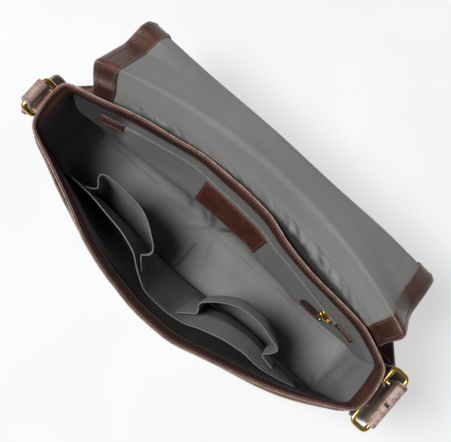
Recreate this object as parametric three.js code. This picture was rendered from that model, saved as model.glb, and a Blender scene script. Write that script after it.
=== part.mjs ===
// Leather messenger bag, open, flap thrown back. Millimetres, +Z up.
// Origin: centre of the flat base, on the surface the bag stands on.
// +X runs along the bag to the buckle end, +Y to the back (flap side).
import * as THREE from 'three';

// ---------------------------------------------------------------- sizes
const BAG_HEIGHT = 290;        // rim above the base
const BASE_LENGTH = 396;       // base, seam to seam
const BASE_DEPTH = 60;         // twice the depth of the base in front of the middle, and the depth of the rim at its ends
const GAP_IN = 2.35;           // how far the plain back lining stands off the panel
const CREST_RISE = 36;         // climb of the zip band's lower edge at the left end
const BACK_FOOT = 48;          // the base reaches this far to the back
const RIM_HALF = 200.2;        // half length of the rim at the seams
const FRONT_SHIFT = 0.8;       // front rim slides this far to +X
const BACK_SHIFT = -5;         // back rim slides this far to -X
const SEAM_EDGE = 4;           // panels stand proud of the gusset seam
const END_BULGE = 6.5;         // gusset bows outward at the rim
const LEATHER = 2.0;           // leather wall
const LINING = 1.0;            // lining wall
const GAP = 0.35;              // free space between layers
const FACING_TALL = 27;        // leather facing inside the mouth
const FACING_THICK = 1.4;
const POCKET_TOP = 266;        // outer front pocket, top edge
const SLIP_TOP = 214;          // slip pocket panel, top edge
const PATCH_TOP = 198;         // patch pockets, top edge
const PATCH_FOOT = 62;         // patch pockets, lower seam
const ZIP_HEIGHT = 243;        // zip on the back lining
const ZIP_DROP = 12;           // it runs lower towards the slider
const ZIP_WIDE = 5.6;
const ZIP_HALF = 146;
const LABEL = { x0: -48, x1: 41, top: 239.8, foot: 204 };
const FLAP_HALF = 187;         // half width of the flap
const FLAP_FACING = 22;        // leather facing along its short sides
const STRAP_WIDE = 52;
const STRAP_THICK = 3;
const STRAP_NECK = 27;         // strap and tab width through the ring
const TAB_THICK = 2;
const RING_WIRE = 2.4;         // radius
const BUCKLE_WIRE = 2.2;       // radius
const COLUMNS = 20;            // facets along a panel

// bow of the rim away from the straight base, along the bag (s = -1..1)
const RIM = [
  { s: -1.00, front: 0.0, back: 0.0 },
  { s: -0.85, front: 11.5, back: 9.0 },
  { s: -0.65, front: 28.5, back: 21.8 },
  { s: -0.45, front: 47.0, back: 29.0 },
  { s: -0.25, front: 58.5, back: 35.8 },
  { s: -0.05, front: 64.0, back: 37.2 },
  { s: 0.12, front: 63.0, back: 34.0 },
  { s: 0.30, front: 56.0, back: 24.0 },
  { s: 0.45, front: 48.0, back: 19.8 },
  { s: 0.65, front: 34.0, back: 16.5 },
  { s: 0.82, front: 19.5, back: 13.0 },
  { s: 1.00, front: 0.0, back: 0.0 },
];
// outer front pocket: how far its top edge stands off the front panel
const POUCH = [
  { s: -0.97, off: 0.0 }, { s: -0.7, off: 3.0 }, { s: -0.4, off: 0.9 },
  { s: 0.0, off: 0.6 }, { s: 0.3, off: 1.6 }, { s: 0.6, off: 3.2 },
  { s: 0.97, off: 0.0 },
];
// back lining: how far it stands in from the leather, by height
const BACK_LINING = [
  { z: 5, mid: 2.35, end: 2.35 }, { z: 90, mid: 2.9, end: 2.5 },
  { z: 150, mid: 5.5, end: 4.2 }, { z: 180, mid: 15.0, end: 9.0 },
  { z: 197, mid: 24.8, end: 13.3 }, { z: 218, mid: 17.0, end: 12.5 },
  { z: 240, mid: 8.7, end: 10.1 }, { z: 261, mid: 2.5, end: 2.6 },
  { z: 290, mid: 2.35, end: 2.35 },
];
// slip pocket panel: how far it stands off the front lining
const SLIP = [
  { x: -166, top: 0, belly: 0 }, { x: -145, top: 8, belly: 7 },
  { x: -118, top: 15, belly: 13 }, { x: -87, top: 19.5, belly: 15 },
  { x: -63, top: 17, belly: 12 }, { x: -39, top: 6.2, belly: 5 },
  { x: -20, top: 0.3, belly: 0.3 }, { x: 6, top: 0, belly: 0 },
  { x: 28, top: 2.6, belly: 8 }, { x: 49, top: 7, belly: 15.5 },
  { x: 73, top: 9, belly: 19.5 }, { x: 97, top: 6.8, belly: 18 },
  { x: 120, top: 1, belly: 10.5 }, { x: 141, top: 0, belly: 3.5 },
  { x: 158, top: 0, belly: 0 },
];
// patch pocket mouths: x at the mouth, x at the foot, depth off the slip panel
const PATCH_LEFT = [
  { x: -143, foot: -139, depth: 0 }, { x: -137, foot: -136, depth: 4.5 },
  { x: -136, foot: -134, depth: 9.5 }, { x: -143, foot: -131, depth: 16.5 },
  { x: -145, foot: -128, depth: 21 }, { x: -141, foot: -123, depth: 24 },
  { x: -131, foot: -115, depth: 25.5 }, { x: -119, foot: -106, depth: 27.5 },
  { x: -105, foot: -96, depth: 29 }, { x: -90, foot: -86, depth: 28 },
  { x: -75, foot: -75, depth: 25 }, { x: -61, foot: -65, depth: 21.5 },
  { x: -50.5, foot: -57, depth: 20 }, { x: -47.5, foot: -53, depth: 16.5 },
  { x: -50, foot: -51, depth: 10.5 }, { x: -53.5, foot: -49, depth: 6 },
  { x: -50, foot: -47, depth: 3 }, { x: -40, foot: -44, depth: 0.2 },
];
const PATCH_RIGHT = [
  { x: 17, foot: 24, depth: 0 }, { x: 28, foot: 29, depth: 4.5 },
  { x: 35, foot: 33, depth: 6.5 }, { x: 36, foot: 36, depth: 10.5 },
  { x: 32.5, foot: 39, depth: 17 }, { x: 35, foot: 43, depth: 20.5 },
  { x: 46, foot: 51, depth: 24 }, { x: 60, foot: 62, depth: 27.5 },
  { x: 78, foot: 76, depth: 28.5 }, { x: 96, foot: 90, depth: 27 },
  { x: 111, foot: 102, depth: 25 }, { x: 124, foot: 112, depth: 21.5 },
  { x: 127, foot: 116, depth: 18.5 }, { x: 122, foot: 118, depth: 12 },
  { x: 115.5, foot: 120, depth: 6.5 }, { x: 118, foot: 121, depth: 3.2 },
  { x: 131, foot: 124, depth: 0.2 },
];
// flap, seen from the side: from the seam on the back panel, over the crest, down;
// height and y at its left side, in its middle and at its right side, and its hold on the panel
const FLAP = [
  { zLeft: 256, yLeft: 37.9, zMid: 256, yMid: 63.4, zRight: 256, yRight: 37.9, cling: 1.00 },
  { zLeft: 275, yLeft: 41.0, zMid: 275, yMid: 69.0, zRight: 275, yRight: 41.0, cling: 0.45 },
  { zLeft: 293, yLeft: 43.0, zMid: 293, yMid: 73.5, zRight: 293, yRight: 43.0, cling: 0.00 },
  { zLeft: 325, yLeft: 45.6, zMid: 316, yMid: 77.5, zRight: 325, yRight: 45.6, cling: 0.00 },
  { zLeft: 353, yLeft: 48.8, zMid: 336, yMid: 81.0, zRight: 350, yRight: 47.8, cling: 0.00 },
  { zLeft: 365, yLeft: 51.2, zMid: 345, yMid: 84.5, zRight: 358, yRight: 50.2, cling: 0.00 },
  { zLeft: 366, yLeft: 54.5, zMid: 348, yMid: 89.0, zRight: 357, yRight: 54.0, cling: 0.00 },
  { zLeft: 358, yLeft: 60.0, zMid: 345, yMid: 95.0, zRight: 343, yRight: 60.0, cling: 0.00 },
  { zLeft: 338, yLeft: 75.0, zMid: 334, yMid: 104.0, zRight: 313, yRight: 71.0, cling: 0.00 },
  { zLeft: 319, yLeft: 90.0, zMid: 320, yMid: 112.5, zRight: 292, yRight: 82.0, cling: 0.00 },
  { zLeft: 317, yLeft: 103.0, zMid: 308, yMid: 119.5, zRight: 284, yRight: 95.0, cling: 0.00 },
  { zLeft: 317, yLeft: 113.0, zMid: 297, yMid: 125.0, zRight: 276, yRight: 109.0, cling: 0.00 },
  { zLeft: 305, yLeft: 123.0, zMid: 281, yMid: 129.5, zRight: 262, yRight: 123.0, cling: 0.00 },
  { zLeft: 280, yLeft: 129.5, zMid: 258, yMid: 131.5, zRight: 246, yRight: 129.0, cling: 0.00 },
  { zLeft: 235, yLeft: 132.0, zMid: 222, yMid: 132.0, zRight: 215, yRight: 132.0, cling: 0.00 },
  { zLeft: 178, yLeft: 128.0, zMid: 170, yMid: 127.5, zRight: 178, yRight: 128.0, cling: 0.00 },
];

// ------------------------------------------------------------- materials
const leather = () => new THREE.MeshStandardMaterial({ color: 0x4f3029, roughness: 0.5, metalness: 0 });
const labelHide = () => new THREE.MeshStandardMaterial({ color: 0x4a221a, roughness: 0.55, metalness: 0 });
const cloth = () => new THREE.MeshStandardMaterial({ color: 0x6f6d6c, roughness: 0.9, metalness: 0 });
const brass = () => new THREE.MeshStandardMaterial({ color: 0xb08d3a, roughness: 0.28, metalness: 1 });

const group = new THREE.Group();
group.name = 'messenger_bag';

// --------------------------------------------------------------- helpers
const V = (x, y, z) => new THREE.Vector3(x, y, z);
const lerp = (a, b, k) => a + (b - a) * k;

// smooth curve through the rows of a table
function along(rows, key, col, at) {
  const n = rows.length;
  if (at <= rows[0][key]) return rows[0][col];
  if (at >= rows[n - 1][key]) return rows[n - 1][col];
  let i = 0;
  while (rows[i + 1][key] < at) i++;
  const slope = (k) => {
    if (k <= 0) return (rows[1][col] - rows[0][col]) / (rows[1][key] - rows[0][key]);
    if (k >= n - 1) return (rows[n - 1][col] - rows[n - 2][col]) / (rows[n - 1][key] - rows[n - 2][key]);
    const a = (rows[k][col] - rows[k - 1][col]) / (rows[k][key] - rows[k - 1][key]);
    const b = (rows[k + 1][col] - rows[k][col]) / (rows[k + 1][key] - rows[k][key]);
    return a * b <= 0 ? 0 : (2 * a * b) / (a + b);
  };
  const h = rows[i + 1][key] - rows[i][key];
  const k = (at - rows[i][key]) / h;
  const k2 = k * k, k3 = k2 * k;
  return rows[i][col] * (2 * k3 - 3 * k2 + 1) + slope(i) * h * (k3 - 2 * k2 + k)
    + rows[i + 1][col] * (3 * k2 - 2 * k3) + slope(i + 1) * h * (k3 - k2);
}
function addMesh(name, points, faces, material) {
  const flat = new Float32Array(faces.length * 9);
  let volume = 0;
  for (const f of faces) {
    const [a, b, c] = f.map((i) => points[i]);
    volume += a.dot(V(0, 0, 0).crossVectors(b, c));
  }
  faces.forEach((f, k) => {
    const order = volume < 0 ? [f[0], f[2], f[1]] : f;
    order.forEach((i, m) => points[i].toArray(flat, k * 9 + m * 3));
  });
  const g = new THREE.BufferGeometry();
  g.setAttribute('position', new THREE.BufferAttribute(flat, 3));
  g.computeVertexNormals();
  const mesh = new THREE.Mesh(g, material);
  mesh.name = name;
  group.add(mesh);
}

// closed wall between two grids of points, face(u, v) and back(u, v)
function wall(name, us, vs, face, back, material) {
  const points = [], faces = [];
  const nu = us.length, nv = vs.length;
  for (const f of [face, back]) for (const u of us) for (const v of vs) points.push(f(u, v));
  const id = (layer, i, j) => layer * nu * nv + i * nv + j;
  const quad = (a, b, c, d) => faces.push([a, b, c], [a, c, d]);
  for (let i = 0; i < nu - 1; i++) for (let j = 0; j < nv - 1; j++) {
    quad(id(0, i, j), id(0, i + 1, j), id(0, i + 1, j + 1), id(0, i, j + 1));
    quad(id(1, i, j), id(1, i, j + 1), id(1, i + 1, j + 1), id(1, i + 1, j));
  }
  for (let i = 0; i < nu - 1; i++) {
    quad(id(0, i, 0), id(1, i, 0), id(1, i + 1, 0), id(0, i + 1, 0));
    quad(id(0, i, nv - 1), id(0, i + 1, nv - 1), id(1, i + 1, nv - 1), id(1, i, nv - 1));
  }
  for (let j = 0; j < nv - 1; j++) {
    quad(id(0, 0, j), id(0, 0, j + 1), id(1, 0, j + 1), id(1, 0, j));
    quad(id(0, nu - 1, j), id(1, nu - 1, j), id(1, nu - 1, j + 1), id(0, nu - 1, j + 1));
  }
  addMesh(name, points, faces, material);
}
const steps = (a, b, n) => Array.from({ length: n + 1 }, (_, i) => lerp(a, b, i / n));

// ribbon: rows of { p, w, n, half }, thickness, columns across
function ribbon(name, rows, thick, columns, material) {
  const at = (side) => (i, c) => {
    const r = rows[i];
    return r.p.clone().addScaledVector(r.w, r.half * c).addScaledVector(r.n, side * thick / 2);
  };
  const us = rows.map((_, i) => i);
  wall(name, us, steps(-1, 1, columns), at(1), at(-1), material);
}

// round wire along a closed or open list of points
function wire(name, pts, radius, sides, closed, material) {
  const n = pts.length, points = [], faces = [];
  const tangent = (i) => {
    const a = pts[closed ? (i + n - 1) % n : Math.max(i - 1, 0)];
    const b = pts[closed ? (i + 1) % n : Math.min(i + 1, n - 1)];
    return b.clone().sub(a).normalize();
  };
  let side = V(0.31, 0.17, 0.93);
  for (let i = 0; i < n; i++) {
    const t = tangent(i);
    side = side.clone().addScaledVector(t, -side.dot(t)).normalize();
    const up = V(0, 0, 0).crossVectors(t, side);
    for (let k = 0; k < sides; k++) {
      const a = 2 * Math.PI * k / sides;
      points.push(pts[i].clone().addScaledVector(side, radius * Math.cos(a)).addScaledVector(up, radius * Math.sin(a)));
    }
  }
  const spans = closed ? n : n - 1;
  let turn = 0;
  if (closed) { // line the last ring up with the first
    const last = points.slice((n - 1) * sides), first = points.slice(0, sides);
    let best = Infinity;
    for (let k = 0; k < sides; k++) {
      let d = 0;
      for (let m = 0; m < sides; m++) d += last[m].distanceToSquared(first[(m + k) % sides]);
      if (d < best) { best = d; turn = k; }
    }
  }
  for (let i = 0; i < spans; i++) for (let k = 0; k < sides; k++) {
    const shift = closed && i === n - 1 ? turn : 0;
    const j = (i + 1) % n, m = (k + 1) % sides;
    const a = i * sides + k, b = i * sides + m;
    const c = j * sides + (m + shift) % sides, d = j * sides + (k + shift) % sides;
    faces.push([a, b, c], [a, c, d]);
  }
  if (!closed) {
    const c0 = points.length; points.push(pts[0].clone());
    const c1 = points.length; points.push(pts[n - 1].clone());
    for (let k = 0; k < sides; k++) {
      const m = (k + 1) % sides;
      faces.push([c0, m, k], [c1, (n - 1) * sides + k, (n - 1) * sides + m]);
    }
  }
  addMesh(name, points, faces, material);
}

// ----------------------------------------------------------- bag surfaces
const half = BASE_DEPTH / 2;
const rimAt = (z) => z / BAG_HEIGHT;
const lengthAt = (z) => lerp(BASE_LENGTH / 2, RIM_HALF, rimAt(z));
// depth in front or behind before the rim's bow: the back foot stands further out than the rim's ends
const footOf = (sign, t) => (sign < 0 ? half : lerp(BACK_FOOT, half, t));
// outside of the front (sign -1) or back (sign +1) panel at s, height z
function panel(sign, s, z) {
  const t = rimAt(z), inside = Math.max(-1, Math.min(1, s));
  const bow = along(RIM, 's', sign < 0 ? 'front' : 'back', inside);
  const x = s * lengthAt(z) + (sign < 0 ? FRONT_SHIFT : BACK_SHIFT) * t;
  return V(x, sign * (footOf(sign, t) + bow * t), z - bow * bow / (2 * BAG_HEIGHT) * t * t);
}
// the same, moved in by d along its own normal (in plan)
function panelIn(sign, s, z, d) {
  const e = 0.02, p = panel(sign, s, z);
  const a = panel(sign, Math.max(-1, s - e), z), b = panel(sign, Math.min(1, s + e), z);
  const t = b.sub(a); t.z = 0; t.normalize();
  const n = sign < 0 ? V(-t.y, t.x, 0) : V(t.y, -t.x, 0);
  return p.addScaledVector(n, d);
}
// outside of the left (sign -1) or right (sign +1) gusset; r = -1 front .. 1 back
function gusset(sign, r, z) {
  const t = rimAt(z);
  const shift = lerp(FRONT_SHIFT, BACK_SHIFT, (r + 1) / 2) * t;
  const x = sign * (lengthAt(z) - 1.2 + END_BULGE * t * (1 - r * r)) + shift;
  return V(x, lerp(-half, footOf(1, t), (r + 1) / 2), z);
}
const gussetIn = (sign, r, z, d) => gusset(sign, r, z).add(V(-sign * d, 0, 0));
const sOf = (sign, x, z) => (x - (sign < 0 ? FRONT_SHIFT : BACK_SHIFT) * rimAt(z)) / lengthAt(z);

const proud = SEAM_EDGE / RIM_HALF;
const edge = 1 - 5.2 / RIM_HALF;                 // lining stops short of the gusset
const faceEnd = 1 - 9 / RIM_HALF;                // facing stops short of the lining
const pouchEnd = 0.985;                          // outer pocket, sewn at its ends
const S_FACE = steps(-faceEnd, faceEnd, COLUMNS);
const S_IN = [-edge, ...S_FACE, edge];
const S_POUCH = [-pouchEnd, ...S_IN, pouchEnd];
const S_PANEL = [-1 - proud, -1, ...S_POUCH, 1, 1 + proud];

// --------------------------------------------------------------- the shell
const Z_PANEL = [0.5, 75, 150, 220, BAG_HEIGHT];
for (const [name, sign] of [['front_panel', -1], ['back_panel', 1]]) {
  wall(name, S_PANEL, Z_PANEL, (s, z) => panel(sign, s, z), (s, z) => panelIn(sign, s, z, LEATHER), leather());
}
const pouchOff = (s, z) => GAP + along(POUCH, 's', 'off', s) * Math.pow(z / POCKET_TOP, 2);
wall('front_pocket', S_POUCH, [9, 75, 150, 215, POCKET_TOP],
  (s, z) => panelIn(-1, s, z, -pouchOff(s, z)),
  (s, z) => panelIn(-1, s, z, -pouchOff(s, z) - LEATHER), leather());

const inner = half - LEATHER - GAP;               // between the panels
const R_GUSSET = steps(-inner / half, inner / half, 6);
for (const [name, sign] of [['gusset_left', -1], ['gusset_right', 1]]) {
  wall(name, R_GUSSET, [0.5, 100, 200, BAG_HEIGHT - 2],
    (r, z) => gusset(sign, r, z), (r, z) => gussetIn(sign, r, z, LEATHER), leather());
}
const baseHalf = BASE_LENGTH / 2 - 1.2 - LEATHER - GAP;
const backInner = BACK_FOOT - LEATHER - GAP;
wall('base', [-baseHalf, baseHalf], [-inner, backInner], (x, y) => V(x, y, 0), (x, y) => V(x, y, LEATHER), leather());

// -------------------------------------------------------------- the lining
const IN_1 = LEATHER + GAP, IN_2 = IN_1 + LINING;
const FLOOR_1 = LEATHER + GAP, FLOOR_2 = FLOOR_1 + LINING;
const LINING_FOOT = FLOOR_2 + GAP;
wall('lining_base', [-baseHalf + 1.4, baseHalf - 1.4], [-inner + 1.4, backInner - 1.4],
  (x, y) => V(x, y, FLOOR_1), (x, y) => V(x, y, FLOOR_2), cloth());
const Z_LINING = [LINING_FOOT, 75, 150, 220, BAG_HEIGHT - 3];
wall('lining_front', S_IN, Z_LINING,
  (s, z) => panelIn(-1, s, z, IN_1), (s, z) => panelIn(-1, s, z, IN_2), cloth());
// the crest of the band with the zip climbs towards the left end and lies back
// a little right of the label; between its rows the lining runs straight
const ease = (v) => {
  const k = Math.min(1, Math.max(0, v));
  return k * k * (3 - 2 * k);
};
const Z_BACK = [LINING_FOOT, 90, 150, 180, 197, 218, 240, 262, BAG_HEIGHT - 3];
const backRow = (s, z) => {
  const k = Math.pow(Math.abs(s), 3);
  const at = z - CREST_RISE * ease((-s - 0.5) / 0.42) * Math.max(0, Math.min(1, z / 100, (246 - z) / 22));
  const base = lerp(along(BACK_LINING, 'z', 'mid', at), along(BACK_LINING, 'z', 'end', at), k);
  const back = z > 255 ? 1 : 1 - 0.14 * ease((s - 0.02) / 0.18) * (1 - ease((s - 0.36) / 0.2));
  return GAP_IN + (base - GAP_IN) * back;
};
const backIn = (s, z) => {
  const i = Math.max(0, Math.min(Z_BACK.length - 2, Z_BACK.filter((v) => v <= z).length - 1));
  return lerp(backRow(s, Z_BACK[i]), backRow(s, Z_BACK[i + 1]), (z - Z_BACK[i]) / (Z_BACK[i + 1] - Z_BACK[i]));
};
wall('lining_back', S_IN, Z_BACK,
  (s, z) => panelIn(1, s, z, backIn(s, z)), (s, z) => panelIn(1, s, z, backIn(s, z) + LINING), cloth());
const R_LINING = (half - IN_2 - GAP - 0.4) / half;
for (const [name, sign] of [['lining_left', -1], ['lining_right', 1]]) {
  wall(name, steps(-R_LINING, R_LINING, 6), [LINING_FOOT, 100, 200, BAG_HEIGHT - 4],
    (r, z) => gussetIn(sign, r, z, IN_1), (r, z) => gussetIn(sign, r, z, IN_2), cloth());
}

// -------------------------------------------------- facing inside the mouth
const FACE_1 = IN_2 + GAP + 0.25, FACE_2 = FACE_1 + FACING_THICK;
for (const [name, sign] of [['facing_front', -1], ['facing_back', 1]]) {
  wall(name, S_FACE, [BAG_HEIGHT - FACING_TALL, BAG_HEIGHT - 1.5],
    (s, z) => panelIn(sign, s, z, FACE_1), (s, z) => panelIn(sign, s, z, FACE_2), leather());
}
const R_FACE = (half - FACE_2 - GAP - 0.6) / half;
for (const [name, sign] of [['facing_left', -1], ['facing_right', 1]]) {
  wall(name, steps(-R_FACE, R_FACE, 6), [BAG_HEIGHT - FACING_TALL - 6, BAG_HEIGHT - 4],
    (r, z) => gussetIn(sign, r, z, FACE_1), (r, z) => gussetIn(sign, r, z, FACE_2), leather());
}

// ------------------------------------------- zip, label on the back lining
function onBack(x, z, d) {
  const s = sOf(1, x, z);
  return panelIn(1, s, z, backIn(s, z) + LINING + d);
}
const zipZ = (x) => ZIP_HEIGHT - ZIP_DROP * ease((x - 70) / 80);
const onZip = (x, h, d) => onBack(x, zipZ(x) + h, d);
wall('zip', steps(-ZIP_HALF, ZIP_HALF, 24), [-ZIP_WIDE / 2, 0, ZIP_WIDE / 2],
  (x, h) => onZip(x, h, GAP + 0.8), (x, h) => onZip(x, h, GAP + 1.75), cloth());
for (const [name, x0, x1] of [['zip_end_left', -172, -ZIP_HALF - 0.6], ['zip_end_right', ZIP_HALF + 0.6, 172]]) {
  wall(name, steps(x0, x1, 4), [-5, 0, 5],
    (x, h) => onZip(x, h, GAP + 0.6), (x, h) => onZip(x, h, GAP + 2.0), leather());
}
wall('label_patch', steps(LABEL.x0, LABEL.x1, 10), [LABEL.foot, 218, LABEL.top],
  (x, z) => onBack(x, z, GAP + 0.9), (x, z) => onBack(x, z, GAP + 2.4), labelHide());
// slider and its leather pull
wall('zip_slider', steps(126, 141, 4), [-4.5, 0, 4.5],
  (x, h) => onZip(x, h, GAP + 2.1), (x, h) => onZip(x, h, GAP + 5.6 - 0.12 * Math.pow((x - 133.5) / 3, 2)), brass());
{
  const rows = [];
  for (const k of steps(0, 1, 6)) {
    const x = lerp(130, 104, k), z = zipZ(x) - lerp(3, 12, k);
    rows.push({ p: onBack(x, z, lerp(8.8, 8.4, k)), x, z });
  }
  for (let i = 0; i < rows.length; i++) {
    const a = rows[Math.max(0, i - 1)].p, b = rows[Math.min(rows.length - 1, i + 1)].p;
    const t = b.clone().sub(a).normalize();
    const out = onBack(rows[i].x, rows[i].z, 5).sub(onBack(rows[i].x, rows[i].z, 0)).normalize();
    const w = out.multiplyScalar(0.86).add(V(0, 0, 0.5));          // stands out from the wall, face up
    rows[i].w = w.addScaledVector(t, -w.dot(t)).normalize();
    rows[i].n = V(0, 0, 0).crossVectors(t, rows[i].w).normalize();
    rows[i].half = [2.4, 3.4, 4.6, 5.2, 5.2, 4.6, 3.0][i];
  }
  ribbon('zip_pull', rows, 1.6, 2, leather());
}

// ---------------------------------------------- pockets on the front lining
function slipOff(x, z) {
  const top = along(SLIP, 'x', 'top', x), belly = along(SLIP, 'x', 'belly', x);
  const k = z / SLIP_TOP;
  const low = belly * Math.sin(Math.min(1, k / 0.8) * Math.PI / 2);
  return IN_2 + GAP + 0.45 + (k < 0.8 ? low : lerp(belly, top, (k - 0.8) / 0.2));
}
const slip = (x, z, d) => panelIn(-1, sOf(-1, x, z), z, slipOff(x, z) + d);
const Z_SLIP = [12, 60, 115, 171, SLIP_TOP];
const SLIP_WALL = 1.2;
wall('slip_pocket', steps(-166, 158, 32), Z_SLIP, (x, z) => slip(x, z, 0), (x, z) => slip(x, z, SLIP_WALL), cloth());

function patchPocket(name, rows) {
  const V_PATCH = steps(0, 1, 4);
  const at = (i, v, extra) => {
    const r = rows[i], z = lerp(PATCH_FOOT, PATCH_TOP, v);
    const grow = Math.sin(v * Math.PI / 2);
    return slip(lerp(r.foot, r.x, v), z, SLIP_WALL + GAP + 0.6 + r.depth * grow + extra);
  };
  // wall thickness along the wall's own normal, seen from above
  const face = (i, v) => at(i, v, 0);
  const back = (i, v) => {
    const p = at(i, v, 0);
    const a = at(Math.max(0, i - 1), v, 0), b = at(Math.min(rows.length - 1, i + 1), v, 0);
    const t = b.sub(a); t.z = 0; t.normalize();
    return p.add(V(-t.y, t.x, 0).multiplyScalar(SLIP_WALL));
  };
  wall(name, rows.map((_, i) => i), V_PATCH, face, back, cloth());
}
patchPocket('patch_pocket_left', PATCH_LEFT);
patchPocket('patch_pocket_right', PATCH_RIGHT);

// -------------------------------------------------------------------- flap
const flapRows = FLAP.map((_, i) => i);
function flapAt(x, i) {
  const r = FLAP[i], k = Math.pow(Math.abs(x) / FLAP_HALF, 2.2);
  const free = lerp(r.yMid, x < 0 ? r.yLeft : r.yRight, k), z = lerp(r.zMid, x < 0 ? r.zLeft : r.zRight, k);
  const sewn = panel(1, sOf(1, x, Math.min(z, BAG_HEIGHT)), Math.min(z, BAG_HEIGHT)).y + 0.6;
  return V(x, Math.max(lerp(free, sewn, r.cling), z < BAG_HEIGHT ? sewn : -1e3), z);
}
// moved by d to the lining side (d > 0) or the leather side (d < 0)
function flapOff(x, i, d) {
  const p = flapAt(x, i);
  const a = flapAt(x, Math.max(0, i - 1)), b = flapAt(x, Math.min(FLAP.length - 1, i + 1));
  const before = p.clone().sub(a).setX(0).normalize(), after = b.sub(p).setX(0).normalize();
  const t = before.clone().add(after).normalize();
  // kept an even distance off both faces that meet at this row
  const even = Math.max(0.6, t.dot(before.lengthSq() > 0 ? before : after));
  return p.addScaledVector(V(0, -t.z, t.y), d / even);
}
const FLAP_IN = FLAP_HALF - FLAP_FACING;
const F_COLS = [-FLAP_HALF, ...steps(-FLAP_IN, FLAP_IN, 10), FLAP_HALF];
const UNDER = -(LINING + GAP);
wall('flap_lining', F_COLS, flapRows, (x, i) => flapOff(x, i, -0.1 - GAP), (x, i) => flapOff(x, i, -0.1 - GAP - LINING), cloth());
wall('flap_leather', F_COLS, flapRows, (x, i) => flapOff(x, i, UNDER - 0.1 - GAP), (x, i) => flapOff(x, i, UNDER - 0.1 - GAP - LEATHER), leather());
const facingRows = flapRows.slice(2);
const FLAP_FACE = 1.2;
for (const [name, x0, x1] of [
  ['flap_facing_left', -FLAP_HALF, -FLAP_HALF + FLAP_FACING],
  ['flap_facing_right', FLAP_HALF - FLAP_FACING, FLAP_HALF]]) {
  wall(name, [x0, x1], facingRows, (x, i) => flapOff(x, i, 0), (x, i) => flapOff(x, i, FLAP_FACE), leather());
}

// -------------------------------------------------- tabs, ring, buckle, strap
// sections of strap and tab in the plane y = const: x outward from the end, z up
function arc(cx, cz, r, a0, a1, n) {
  return steps(a0, a1, n).map((a) => [cx + r * Math.cos(a * Math.PI / 180), cz + r * Math.sin(a * Math.PI / 180)]);
}
function sideRows(sign, y, path, halfAt) {
  return path.map(([x, z], i) => {
    const a = path[Math.max(0, i - 1)], b = path[Math.min(path.length - 1, i + 1)];
    const t = V(sign * (b[0] - a[0]), 0, b[1] - a[1]).normalize();
    const w = V(0, 1, 0);
    return { p: V(sign * x, y, z), w, n: V(0, 0, 0).crossVectors(t, w).normalize(), half: halfAt(i, path.length) };
  });
}
const END_Y = { left: 1, right: 1 };
// inner bar of the ring and buckle, which the tab is folded round
const RING = { bar: [214.5, 272], outer: [226, 282], halfWide: 17.4 };
const BUCKLE = { bar: [211.5, 272], outer: [229.5, 267], halfWide: 33 };
function tabPath(sign, bar, wireR) {
  const r = wireR + 0.45 + TAB_THICK / 2;
  const wallX = (z) => Math.abs(gusset(sign, 0, z).x);
  return [[wallX(196) + 1.5, 196], [wallX(230) + 1.5, 230], [wallX(252) + 1.8, 252], [bar[0] - r + 0.1, bar[1] - 6],
    ...arc(bar[0], bar[1], r, 180, 0, 6),
    [bar[0] + r - 0.5, bar[1] - 7], [wallX(250) + 4.8, 250], [wallX(228) + 4, 228], [wallX(197) + 3.9, 197]];
}
ribbon('tab_left', sideRows(-1, END_Y.left, tabPath(-1, RING.bar, RING_WIRE), () => STRAP_NECK / 2), TAB_THICK, 2, leather());
ribbon('tab_right', sideRows(1, END_Y.right, tabPath(1, BUCKLE.bar, BUCKLE_WIRE), () => STRAP_NECK / 2), TAB_THICK, 2, leather());

// rectangular wire frame through two bars, with round corners
function frameWire(sign, y, spec, corner) {
  const dir = [spec.outer[0] - spec.bar[0], spec.outer[1] - spec.bar[1]];
  const wide = Math.hypot(dir[0], dir[1]), e = [dir[0] / wide, dir[1] / wide], pts = [];
  const put = (a, b) => pts.push(V(sign * (spec.bar[0] + e[0] * a), y + b, spec.bar[1] + e[1] * a));
  const h = spec.halfWide, c = corner;
  for (const [ca, cb, from] of [[c, h - c, 180], [wide - c, h - c, 90], [wide - c, -h + c, 0], [c, -h + c, -90]]) {
    for (const k of steps(0, 1, 3)) {
      const a = (from - 90 * k) * Math.PI / 180;
      put(ca + c * Math.cos(a), cb + c * Math.sin(a));
    }
  }
  return pts;
}
wire('ring_left', frameWire(-1, END_Y.left, RING, 4), RING_WIRE, 8, true, brass());
wire('buckle', frameWire(1, END_Y.right, BUCKLE, 5), BUCKLE_WIRE, 8, true, brass());

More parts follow.
